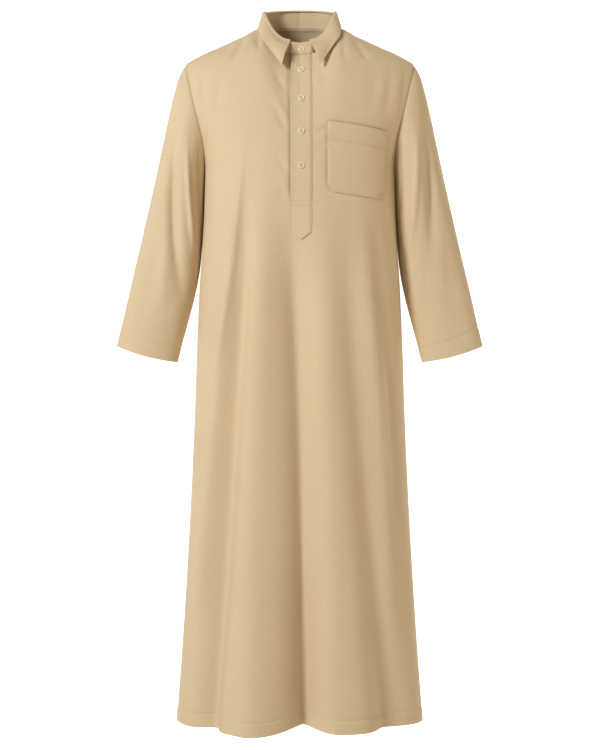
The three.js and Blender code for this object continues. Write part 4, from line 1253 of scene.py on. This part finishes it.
@dataclass
class Collar:
    """The shirt collar: a stand round the neckline, and the fall that rolls over it."""

    stand_cut: Cut = Cut("collar_stand", (0.5, 0.04), 0.0163, thick=1.5, round_edge=0.4)
    fall_cut: Cut = Cut("collar_fall", (0.44, 0.07), 0.0265, held="folded", thick=1.5, round_edge=0.5)
    # How far past the middle of the front the stand's lower and upper ends run, in degrees.
    under_end: float = 10.0
    over_end: float = 12.2
    lap_lift: float = 2.4
    lap_from: float = 42.0
    lap_full: float = 8.0
    gap: float = 0.45
    # The upper end is rounded over this angle, down to this share less of its height.
    end_round: float = 8.5
    end_drop: float = 0.74
    end_steps: Floats = (0.8, 0.62, 0.46, 0.32, 0.21, 0.12, 0.05, 0.015, 0)
    sag: float = 5.0
    sag_from: float = 2.0
    sag_full: float = 14.0
    sag_out: float = 0.85
    # How far the stand falls back under the leaf of the wearer's left, and where.
    set_back: float = 10.5
    set_back_from: Pair = (15.5, 26.0)
    set_back_to: Pair = (40.0, 70.0)
    # The stand's rows, as shares of its height, and the one that is stitched.
    stand_rows: Floats = (
        0, 0.03, 0.06, 0.1, 0.16, 0.24, 0.33, 0.42, 0.52, 0.62, 0.72, 0.82, 0.91, 0.97, 1.0
    )
    stitched_row: int = 2
    stand_columns: int = 230
    # The stitches of the stand and of the fall: over what width they draw it in, and how deep.
    stand_dip: Pair = (1.2, 0.3)
    fall_dip: Pair = (1.1, 0.3)
    # How far a leaf's front edge bows forward, over which part of the way round.
    point_off: float = 9.0
    point_off_to: float = 50.0
    point_spread: float = 0.026
    point_spread_to: float = 48.0
    # The fall's middle stands out from the line between its roll and its edge.
    belly: float = 4.4
    leaf_from: float = 14.0
    leaf_columns: int = 90
    leaf_rows: int = 22
    edge_rows: Floats = (0.965, 0.985, 1.0)
    stitch_inset: float = 2.8
    # The roll, from the stand's inner face over its top to the outside: out of the stand's top, and above it.
    roll: tuple[Pair, ...] = (
        (-1.55, 0.3), (-1.5, 1), (-1.2, 1.8), (-0.3, 2.5), (1.0, 2.7), (2.3, 2.0), (3.2, 0.5), (3.6, -1.8)
    )

    def lift(self, before: Array) -> Array:
        """How far the upper end's side lies outside the lower end's, by the angle before the middle."""
        return self.lap_lift * ease(self.lap_from, self.lap_full, before)

    def end_sag(self, past: Array) -> Array:
        """How far the upper end hangs down, by the angle past the middle of the front."""
        return self.sag * ease(self.sag_from, self.sag_full, past)

    def stand_point(self, path: Array, up: Array) -> Array:
        """A place on the stand.

        Args:
            path: the angle from the middle of the front round by the wearer's right.
            up: the share of the stand's height.

        Returns:
            The points.
        """
        path, up = np.broadcast_arrays(np.asarray(path, float), np.asarray(up, float))
        around = np.abs((path + 540) % 360 - 180)
        base = neck_point(around)
        base[..., 0] *= np.where(np.sin(np.radians(path)) > 0, -1, 1)
        out = unit(base[..., :2])
        sag = self.end_sag(path - 360)
        shift = self.lift(360 - path) + self.sag_out * sag - up * STAND.read(around, "lean")
        base[..., :2] += out * shift[..., None]
        base[..., 2] += self.gap + up * STAND.read(around, "height") - sag
        before = -((path + 180) % 360 - 180)
        back = self.set_back * ease(*self.set_back_from, before)
        base[..., 1] += back * (1 - ease(*self.set_back_to, before))
        return base

    def stand(self, finishes: Finishes) -> None:
        """Makes the stand and the stitches along its foot."""
        end = 360 + self.over_end
        plain = np.linspace(-self.under_end, end - self.end_round, self.stand_columns)
        path = np.concatenate([plain, end - self.end_round * np.array(self.end_steps)])
        past = np.clip((path - end) / self.end_round + 1, 0, 1)
        kept = 1 - self.end_drop * (1 - np.sqrt(1 - past**2))
        up = np.array(self.stand_rows)[:, None]
        points = self.stand_point(path[None], up * kept[None])
        # The stand is about 30 mm high.
        inside = (up - self.stand_rows[self.stitched_row]) * 30
        points += Cloth(points).normals() * dip(inside, *self.stand_dip)[..., None]
        cloth, thread = Cloth(points), Thread()
        thread.stitch(cloth, self.stitched_row)
        self.stand_cut.add(cloth, finishes, thread)

    def leaf(self, around: Array, side: Array, foot: Array, out: Array) -> Array:
        """The fall's rows from its roll down to its edge.

        Args:
            around: the angles round the neckline.
            side: whether each one is on the wearer's right.
            foot: the last row of the roll.
            out: the level directions out of the neck.

        Returns:
            The rows of points.
        """
        over, lift = LEAF.read(around, "over"), LEAF.read(around, "lift")
        spread_to = 1 - ease(self.leaf_from, self.point_spread_to, around)
        across = LEAF.read(around, "across") + np.where(side, self.point_spread * spread_to, 0)
        edge, edge_out = FORM.upper_skin(across, over)
        edge = edge + edge_out * (lift + WALL)[:, None]
        rows = []
        for share in (*np.linspace(0, 1, self.leaf_rows)[1:-1], *self.edge_rows):
            belly = out * (self.belly * math.sin(math.pi * share) * np.cos(np.radians(around))[:, None] ** 2)
            # The bow is full at a third of the way down, and three quarters of it are gone at the edge.
            bow = self.point_off * ease(0, 0.3, share) * (1 - 0.75 * ease(0.5, 1, share))
            off = bow * (1 - ease(self.leaf_from, self.point_off_to, around))
            rows.append(mix(foot, edge, share) + belly + np.array([0, -1, 0]) * off[:, None])
        return np.array(rows)

    def fall(self, finishes: Finishes) -> None:
        """Makes the fall with its two points, and the stitches along its edge."""
        half = mix(self.leaf_from, 180.0, np.linspace(0, 1, self.leaf_columns) ** SPREAD)
        signed = np.concatenate([half, -half[-2::-1]])
        around = np.abs(signed)
        foot = neck_point(around)
        out = np.concatenate([unit(foot[:, :2]), np.zeros((len(foot), 1))], axis=1)
        lap = np.where(signed > 0, self.lift(around), 0.0)
        lean, height = STAND.read(around, "lean"), STAND.read(around, "height")
        rolled = []
        for shift, up in self.roll:
            aside = (shift + lap * ease(-1.6, 3.0, shift) - lean)[:, None]
            rolled.append(foot + out * aside + np.array([0, 0, 1]) * (height + up)[:, None])
        points = np.concatenate([np.array(rolled), self.leaf(around, signed > 0, rolled[-1], out)])
        points[..., 0] *= np.where(signed < 0, -1, 1)[None]
        down = np.linalg.norm(points - points[-1:], axis=-1)
        ends = np.minimum(*(np.linalg.norm(points - points[:, [end]], axis=-1) for end in (0, -1)))
        # The ends are stitched on the leaf alone, not on its roll.
        on_leaf = np.arange(len(points))[:, None] > len(rolled) - 2
        inset = np.minimum(down, np.where(on_leaf, ends, np.inf))
        points += Cloth(points).normals() * dip(inset - self.stitch_inset, *self.fall_dip)[..., None]
        cloth, thread = Cloth(points), Thread(pitch=2.6, length=2.3, wide=0.95)
        row = nearest(down[:, len(half)], self.stitch_inset)
        thread.stitch(cloth, row, slice(2, -2))
        for column in (2, -3):
            thread.stitch(cloth, slice(len(rolled), row + 1), column)
        self.fall_cut.add(cloth, finishes, thread)


# ---- placket, pocket and buttons

BUTTON_HEIGHTS = (-97.0, -155.0, -220.0, -286.0)
# The placket and what lies round it follow the small creases by this share.
PLACKET_SHARP = 0.5


@dataclass
class Placket:
    """The buttoned placket with its pointed end, and the strip under it."""

    cut: Cut = Cut("placket", (0.041, 0.375), 0.0152, held="laid", thick=1.4, round_edge=0.4)
    under_cut: Cut = Cut("under_placket", (0.054, 0.32), 0.0172, held="laid", round_edge=0.3)
    left: float = -17.5
    right: float = 23.5
    corners: float = -413.0
    tip: float = -428.0
    # The two lines of stitches across it, below which its left edge is sewn down.
    boxes: Pair = (-354.8, -364.2)
    under: Triple = (-27.0, 27.0, -372.0)
    inset: float = 1.8
    # Its stitches, at its edges, at the left edge where it is sewn down, and across it: over what width
    # they draw it in, and how deep.
    edge_dip: Pair = (1.3, 0.6)
    sewn_dip: Pair = (1.3, 0.7)
    box_dip: Pair = (1.8, 1.3)
    # How far its free edge stands up, its sewn one lies down, it bulges between the buttons, and it waves.
    free_up: float = 0.9
    sewn_down: float = 1.2
    bulge: float = 0.45
    wave: float = 0.22
    # The extra columns beside each edge.
    edge_lines: Floats = (0.6, 1.8, 3.2)
    top_gap: float = 2.2
    columns: int = 31
    rows: int = 190
    under_columns: int = 20
    under_rows: int = 90

    def neckline(self, x: Array) -> Array:
        """The height of the neckline at places across."""
        return neck_point(np.degrees(np.arcsin(np.clip(np.abs(x) / NECK_WIDTH, 0, 1))))[..., 2]

    def foot(self, x: Array) -> Array:
        """The height of the placket's pointed end at places across."""
        middle = (self.left + self.right) / 2
        return mix(self.tip, self.corners, np.abs(x - middle) / (self.right - middle))

    def rise(self, x: Array, height: Array, sewn: Array) -> Array:
        """How far the strip stands off the front.

        Args:
            x: the places across.
            height: their heights.
            sewn: 1 where the left edge is sewn down, and 0 where it is free.

        Returns:
            The rises.
        """
        from_left, from_right = x - self.left, self.right - x
        from_foot = (height - self.foot(x)) * 0.8
        rise = np.full(height.shape, REST + WALL)
        at_left = dip(from_left - self.inset, *self.sewn_dip) * sewn
        rise += dip(from_right - self.inset, *self.edge_dip) + at_left
        boxed = sum(dip(height - box, *self.box_dip) for box in self.boxes)
        rise += dip(from_foot - self.inset, *self.edge_dip) + boxed
        # The free edge stands up, and the sewn one lies down.
        rise += self.free_up * (1 - sewn) * (1 - ease(0, 6, from_left))
        rise -= self.sewn_down * (1 - ease(0, 4.5, from_right))
        # The cloth bulges a little between the buttons, and its free edge waves.
        ends = (-345.0, *BUTTON_HEIGHTS[::-1], -40.0)
        gaps = np.interp(height, np.array(ends), np.arange(float(len(ends))))
        rise += self.bulge * np.sin(math.pi * gaps) ** 2 * (1 - ease(0, 24, from_left)) * (1 - sewn)
        rise += self.wave * pucker(height + 0.5 * x, 1.9, 23.0) * ease(0, 8, from_right)
        return rise

    def build(self, collar: Collar, finishes: Finishes) -> None:
        """Makes the placket with its stitches, and the strip under it."""
        edge = np.array(self.edge_lines)
        x = np.unique(np.concatenate([
            np.linspace(self.left, self.right, self.columns), self.left + edge, self.right - edge
        ]))
        top = self.neckline(x) - self.top_gap - collar.end_sag(-np.degrees(np.arcsin(x / NECK_WIDTH)))
        height = mix(top[None], self.foot(x)[None], np.linspace(0, 1, self.rows)[:, None] ** 1.05)
        skin, outs = FORM.front_skin(np.broadcast_to(x[None], height.shape), height, PLACKET_SHARP)
        sewn = 1 - ease(self.boxes[0] - 4, self.boxes[0] + 4, height)
        points = skin + outs * self.rise(x[None], height, sewn)[..., None]
        cloth, thread = Cloth(points), Thread(pitch=2.8, length=2.4, wide=1.0)
        left, right = nearest(x, self.left + self.inset), nearest(x, self.right - self.inset)
        free = nearest(height[:, left], self.boxes[0])
        thread.stitch(cloth, slice(2, -3), right)
        thread.stitch(cloth, slice(free, -3), left)
        thread.stitch(cloth, -3, slice(left, right + 1))
        line_x = x[left : right + 1]
        for box in self.boxes:
            skin_line, out_line = FORM.front_skin(line_x, np.full_like(line_x, box), PLACKET_SHARP)
            thread.sew(skin_line + out_line * (REST + WALL - 0.2), out_line)
        self.cut.add(cloth, finishes, thread)
        self.build_under(finishes)

    def build_under(self, finishes: Finishes) -> None:
        """Makes the strip under the opening."""
        left, right, foot = self.under
        x = np.linspace(left, right, self.under_columns)
        height = mix(self.neckline(x)[None] - 1.0, foot, np.linspace(0, 1, self.under_rows)[:, None])
        skin, outs = FORM.front_skin(np.broadcast_to(x[None], height.shape), height, PLACKET_SHARP)
        self.under_cut.add(Cloth(skin - outs * (REST + WALL)), finishes)


@dataclass
class Pocket:
    """The patch pocket with its turned top."""

    cut: Cut = Cut("pocket", (0.117, 0.14), 0.016, held="laid")
    left: float = 52.0
    right: Pair = (169.0, 160.0)
    top: Pair = (-200.0, -213.5)
    foot: Pair = (-337.0, -346.0)
    clip: float = 13.0
    clip_share: float = 0.11
    band: float = 36.0
    inset: float = 1.8
    lift: float = 2.45
    # Its stitches, round its edges and under its band: over what width they draw it in, and how deep.
    edge_dip: Pair = (1.5, 0.9)
    band_dip: Pair = (1.8, 1.3)
    # How much thicker the band is, how far its mouth stands off, and how high the seams' waves are.
    band_thick: float = 0.6
    mouth_off: float = 0.9
    wave: float = 0.3
    side_wave: float = 0.25
    # It follows the front's small creases by this share.
    sharp: float = 0.6
    # The rows and columns near its edges and near the line of stitches under its band.
    edge_lines: Floats = (0, 0.6, 1.2, 1.8, 2.6, 3.6)
    stitched_line: int = 3
    band_lines: Floats = (-2.4, -1.2, 0, 1.2, 2.4)

    def place(self, a: Array, b: Array) -> tuple[Array, Array]:
        """The place across and the height for two shares, across and down the pocket."""
        late = np.maximum(0, (b - 1 + self.clip_share) / self.clip_share)
        right = mix(*self.right, b) - self.clip * late
        return mix(self.left + self.clip * late, right, a), mix(mix(*self.top, a), mix(*self.foot, a), b)

    def rise(self, a: Array, b: Array, wide: float, long: float) -> Array:
        """How far the pocket stands off the front, for shares across it and down it."""
        late = ease(1 - self.clip_share, 1 - self.clip_share + 0.02, b)
        side, down, up = np.minimum(a, 1 - a) * wide, b * long, (1 - b) * long
        stitched = np.minimum(side * mix(1.0, 0.75, late), up)
        rise = np.full(a.shape, self.lift)
        edges = dip(stitched - self.inset, *self.edge_dip) * ease(1.5, 4, down + side)
        rise += edges + dip(down - self.band, *self.band_dip)
        # The band is thicker, and its mouth stands off a little in the middle.
        rise += self.band_thick * ease(self.band + 1, self.band - 2, down)
        rise += self.mouth_off * np.sin(math.pi * a) ** 2 * (1 - ease(0, 60, down))
        rise += self.wave * pucker(a * wide + 0.5 * down, 0.4, 12.0) * band(down - self.band - 3, 9)
        rise += self.wave * pucker(a * wide - 0.4 * up, 2.2, 13.0) * band(up - 4, 8)
        rise += self.side_wave * pucker(down, 3.1, 14.0) * band(side - 4, 7)
        return rise

    def build(self, finishes: Finishes) -> None:
        """Makes the pocket and its stitches."""
        edge = np.array(self.edge_lines)
        wide, long = self.right[0] - self.left, self.top[0] - self.foot[0]
        a = np.unique(np.concatenate([edge / wide, np.linspace(0.045, 0.955, 60), 1 - edge / wide]))
        near = (self.band + np.array(self.band_lines)) / long
        plain = np.linspace(0.03, 0.885, 64)
        plain = plain[np.abs(plain - self.band / long) > 4 / long]
        b = np.unique(np.concatenate([edge / long, plain, near, np.linspace(0.89, 0.96, 8), 1 - edge / long]))
        place_a, place_b = np.broadcast_arrays(a[None], b[:, None])
        x, height = self.place(place_a, place_b)
        skin, outs = FORM.front_skin(x, height, self.sharp)
        points = skin + outs * self.rise(place_a, place_b, wide, long)[..., None]
        cloth, thread = Cloth(points), Thread(pitch=2.6, length=2.3, wide=0.95)
        line = self.stitched_line
        foot, inner = len(b) - 1 - line, slice(line, -line)
        for column in (line, len(a) - 1 - line):
            thread.stitch(cloth, slice(1, foot + 1), column)
        for row in (foot, nearest(b * long, self.band)):
            thread.stitch(cloth, row, inner)
        self.cut.add(cloth, finishes, thread)


@dataclass
class Button:
    """A round four-hole button with a raised rim, its thread and its buttonhole."""

    radius: float = 6.1
    thick: float = 2.6
    rim: float = 1.5
    dish: float = 1.1
    boss: float = 2.8
    boss_up: float = 0.3
    hole: float = 0.5
    holes_apart: float = 2.3
    turns: int = 40
    hole_sides: int = 12
    # The buttonhole is a ring of stitches, sunk this far under the button.
    slot_long: float = 15.5
    slot_wide: float = 2.4
    slot_sunk: float = 0.75
    slot_steps: int = 90

    def disc(self, turn: Matrix) -> bmesh.types.BMesh:
        """The button's own shape, turned about its axis and placed."""
        bm = bmesh.new()
        out, up, floor = self.radius, self.thick, self.thick - self.dish
        profile = [
            (0.0, 0.15), (out - 1.2, 0.0), (out - 0.25, 0.35), (out, 0.9), (out, up - 0.8),
            (out - 0.3, up - 0.2), (out - 0.8, up), (out - self.rim, up - 0.15), (out - 1.45 * self.rim, floor),
            (out - 1.9 * self.rim, floor), (self.boss, floor + self.boss_up), (0.0, floor + self.boss_up),
        ]
        points = [bm.verts.new((r * MM, 0, h * MM)) for r, h in profile]
        edges = [bm.edges.new(pair) for pair in zip(points[:-1], points[1:])]
        bmesh.ops.spin(
            bm, geom=points + edges, axis=(0, 0, 1), cent=(0, 0, 0), angle=2 * math.pi, steps=self.turns,
            use_merge=True,
        )
        bmesh.ops.remove_doubles(bm, verts=bm.verts, dist=Cloth.joined_within)
        bmesh.ops.recalc_face_normals(bm, faces=bm.faces)
        bmesh.ops.transform(bm, matrix=turn, verts=bm.verts)
        return bm

    def holes(self, turn: Matrix) -> bmesh.types.BMesh:
        """Four round pegs that cut the holes."""
        bm = bmesh.new()
        half = self.holes_apart / 2 * MM
        for x, y in ((-half, -half), (half, -half), (half, half), (-half, half)):
            bmesh.ops.create_cone(
                bm, cap_ends=True, cap_tris=False, segments=self.hole_sides, radius1=self.hole * MM,
                radius2=self.hole * MM, depth=3 * self.thick * MM,
                matrix=Matrix.Translation((x, y, self.thick * MM)),
            )
        bmesh.ops.transform(bm, matrix=turn, verts=bm.verts)
        return bm

    def add_disc(self, name: str, turn: Matrix, finishes: Finishes) -> Object:
        """Adds the button itself, with its dish marked for painted shade and its holes cut."""
        disc, pegs = new_mesh(name, self.disc(turn)), new_mesh(name, self.holes(turn))
        # The attribute marks the dish, whose colour the material darkens as painted shade.
        dish = disc.attributes.new("dish", "FLOAT", "POINT")
        wide = self.radius - 1.2 * self.rim - self.boss
        for vert in disc.vertices:
            away = ((vert.co - turn.translation).length / MM - self.boss) / wide
            dish.data[vert.index].value = 1.0 if 0.1 < away < 1.0 else 0.0
        obj = add_piece(f"{name}_disc", disc, finishes.button)
        cutter = add_object(f"{name}_pegs", pegs)
        cut = obj.modifiers.new("Holes", "BOOLEAN")
        cut.object, cut.operation, cut.solver = cutter, "DIFFERENCE", "EXACT"
        bpy.context.view_layer.update()
        done = bpy.data.meshes.new_from_object(obj.evaluated_get(bpy.context.evaluated_depsgraph_get()))
        obj.modifiers.clear()
        obj.data = done
        bpy.data.objects.remove(cutter)
        return obj

    def cross(self, turn: Matrix, out: Array) -> Thread:
        """The thread through the holes, as two bars."""
        thread = Thread(pitch=9.0, length=self.holes_apart + 0.7, wide=0.6)
        top, half = self.thick - self.dish + self.boss_up + 0.15, self.holes_apart / 2
        for offset in (-half, half):
            ends = [turn @ Vector(np.array([end, offset, top]) * MM) for end in (-half, half)]
            thread.sew(np.array(ends) / MM, np.array([out, out]))
        return thread

    def buttonhole(self, turn: Matrix, out: Array, upright: bool) -> Thread:
        """The stitches round the buttonhole, which stands upright or lies across."""
        thread = Thread(pitch=0.55, length=0.7, wide=0.5)
        angle = np.linspace(0, 2 * math.pi, self.slot_steps)
        long = np.sign(np.sin(angle)) * np.abs(np.sin(angle)) ** 0.6 * (self.slot_long / 2)
        ring = stack(np.cos(angle) * (self.slot_wide / 2), long, -self.slot_sunk)
        ring = ring if upright else ring[:, [1, 0, 2]]
        thread.sew(np.array([turn @ Vector(place * MM) for place in ring]) / MM, np.tile(out, (len(ring), 1)))
        return thread

    def build(self, name: str, place: Array, out: Array, up: Array, upright: bool, finishes: Finishes) -> None:
        """Makes a button with its thread and buttonhole.

        Args:
            name: the CAD node's name.
            place: the middle of its underside.
            out: the direction out of the cloth.
            up: the direction up the cloth.
            upright: whether the buttonhole stands upright.
            finishes: the garment's materials.
        """
        across = np.cross(up, out)
        turn = Matrix((across, np.cross(out, across), out)).transposed().to_4x4()
        turn = Matrix.Translation(Vector(place * MM)) @ turn
        obj = self.add_disc(name, turn, finishes)
        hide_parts(name)
        sewn = {"thread": self.cross(turn, out), "buttonhole": self.buttonhole(turn, out, upright)}
        for part, thread in sewn.items():
            thread.build(f"{name}_{part}", finishes.thread)
        report(obj)


@dataclass
class Buttons:
    """The four buttons down the placket and the one on the collar's stand."""

    across: float = 2.8
    off: float = 1.1
    collar_off: float = 0.4
    collar_up: float = 0.42

    def build(self, collar: Collar, finishes: Finishes) -> None:
        """Makes them all."""
        for number, height in enumerate(BUTTON_HEIGHTS, 1):
            place, out = FORM.front_skin(np.array([self.across]), np.array([height]), PLACKET_SHARP)
            up = unit(np.cross(out[0], (1, 0, 0)))
            seat = place[0] + out[0] * (REST + WALL + self.off)
            Button().build(f"button_{number}", seat, out[0], up, True, finishes)
        self.build_collar(collar, finishes)

    def build_collar(self, collar: Collar, finishes: Finishes) -> None:
        """Makes the collar's button, square to the stand."""
        path = 360 - math.degrees(math.asin(self.across / NECK_WIDTH))

        def at(turn: float, up: float) -> Array:
            """The stand's point a step away from the button."""
            return collar.stand_point(np.array([path + turn]), np.array([self.collar_up + up]))[0]

        up = unit(at(0, 0.1) - at(0, -0.1))
        out = unit(np.cross(at(3, 0) - at(-3, 0), up))
        out = out if out[1] < 0 else -out
        Button().build("button_collar", at(0, 0) + out * self.collar_off, out, up, False, finishes)


# ---- stage


@dataclass(frozen=True)
class Lamp:
    """A square soft light that shines on the garment's middle, in metres and watts."""

    name: str
    place: Triple
    size: float
    power: float
    colour: int
    aim: ClassVar[Vector] = Vector((0, 0, -0.6))

    def add(self) -> None:
        """Adds the light."""
        lamp = bpy.data.lights.new(self.name, "AREA")
        lamp.shape, lamp.size, lamp.energy, lamp.color = "SQUARE", self.size, self.power, srgb(self.colour)[:3]
        obj = add_object(self.name, lamp)
        obj.location = self.place
        obj.rotation_euler = (self.aim - Vector(self.place)).to_track_quat("-Z", "Y").to_euler()


@dataclass
class Studio:
    """A pale floor that curves up behind, soft light from the wearer's right, and the camera, in metres."""

    floor: float = -1.62
    before: float = -9.0
    curve_at: float = 2.6
    curve: float = 2.0
    wall_top: float = 7.0
    half_wide: float = 9.0
    # The paper is lit from behind, from the garment's feet on, by this much.
    paper: int = 0xF0F0F0
    lit_from: Pair = (0.1, 0.7)
    lit: float = 0.72
    room_radius: float = 16.0
    room_height: float = 24.0
    room_glow: float = 0.84
    cold: int = 0xF6FAFF
    warm: int = 0xFFF2DE
    sky: int = 0xFFE9CA
    sky_strength: float = 0.18
    eye: Triple = (0.0005, -3.0, -0.688)
    lens: float = 72.0

    def backdrop(self) -> None:
        """Makes the floor and the wall behind it as one curved sheet."""
        bm = bmesh.new()
        run = [(self.before, self.floor), (self.curve_at, self.floor)]
        for angle in np.linspace(0.08, math.pi / 2, 24):
            rise = self.curve * (1 - math.cos(angle))
            run.append((self.curve_at + self.curve * math.sin(angle), self.floor + rise))
        run.append((self.curve_at + self.curve, self.wall_top))
        points = [bm.verts.new((-self.half_wide, y, z)) for y, z in run]
        edges = [bm.edges.new(pair) for pair in zip(points[:-1], points[1:])]
        made = bmesh.ops.extrude_edge_only(bm, edges=edges)["geom"]
        verts = [item for item in made if isinstance(item, bmesh.types.BMVert)]
        bmesh.ops.translate(bm, vec=(2 * self.half_wide, 0, 0), verts=verts)
        bmesh.ops.recalc_face_normals(bm, faces=bm.faces)
        mesh = new_mesh("backdrop", bm)
        shade_smooth(mesh)
        paint = Paint("backdrop_paper")
        depth = paint.add("SeparateXYZ", {0: paint.place("Object")}).outputs["Y"]
        glow = paint.mapped(depth, self.lit_from, (0.0, self.lit))
        mesh.materials.append(paint.finish(
            Base_Color=srgb(self.paper), Roughness=0.95, Emission_Color=srgb(0xFFFFFF), Emission_Strength=glow
        ))
        add_object("backdrop", mesh)

    def surround(self) -> None:
        """Makes the pale room beyond the backdrop, which gives the garment no light."""
        bm = bmesh.new()
        middle = Matrix.Translation((0, 0, self.room_height / 2 - 3.0))
        bmesh.ops.create_cone(
            bm, cap_ends=True, cap_tris=False, segments=64, radius1=self.room_radius, radius2=self.room_radius,
            depth=self.room_height, matrix=middle,
        )
        bmesh.ops.reverse_faces(bm, faces=bm.faces)
        mesh = new_mesh("surround", bm)
        mesh.materials.append(Paint("surround_paint").finish(
            Base_Color=srgb(0x000000), Roughness=1.0, Emission_Color=srgb(0xFFFFFF),
            Emission_Strength=self.room_glow,
        ))
        obj = add_object("surround", mesh)
        for ray in ("diffuse", "glossy", "transmission", "shadow", "volume_scatter"):
            setattr(obj, f"visible_{ray}", False)

    def camera(self) -> None:
        """Adds the camera: level with the garment's middle, 3 m before it."""
        data = bpy.data.cameras.new("camera")
        data.lens, data.sensor_width, data.clip_end = self.lens, 36.0, 50.0
        obj = add_object("camera", data)
        obj.location = self.eye
        obj.rotation_euler = (math.pi / 2, 0, 0)
        bpy.context.scene.camera = obj

    def build(self) -> None:
        """Makes the stage."""
        self.backdrop()
        self.surround()
        for lamp in (
            Lamp("key", (-2.4, -2.8, 1.3), 1.1, 134.0, self.cold),
            Lamp("fill", (2.4, -2.6, 0.2), 2.4, 4.0, self.warm),
            Lamp("side", (3.2, -0.7, 0.3), 1.6, 29.0, self.warm),
            Lamp("back", (2.4, 2.6, 1.3), 1.4, 6.0, self.cold),
        ):
            lamp.add()
        world = bpy.data.worlds.new("studio")
        world.use_nodes = True
        sky = world.node_tree.nodes["Background"]
        set_inputs(world.node_tree, sky, {"Color": srgb(self.sky), "Strength": self.sky_strength})
        bpy.context.scene.world = world
        bpy.context.scene.view_settings.view_transform = "Standard"
        self.camera()


def main() -> None:
    """Builds the garment piece by piece, then the stage."""
    logging.basicConfig(level=logging.INFO, format="%(name)s: %(message)s")
    finishes = Finishes(WovenCloth().build(), SewingThread().build(), MouldedButton().build())
    panels = BodyPanels()
    panels.front(finishes)
    panels.back(finishes)
    Yoke().build(finishes)
    Sleeve("sleeve_left", 1).build(finishes)
    Sleeve("sleeve_right", -1).build(finishes)
    collar = Collar()
    collar.stand(finishes)
    collar.fall(finishes)
    Placket().build(collar, finishes)
    Pocket().build(finishes)
    Buttons().build(collar, finishes)
    Studio().build()


if __name__ == "__main__":
    main()
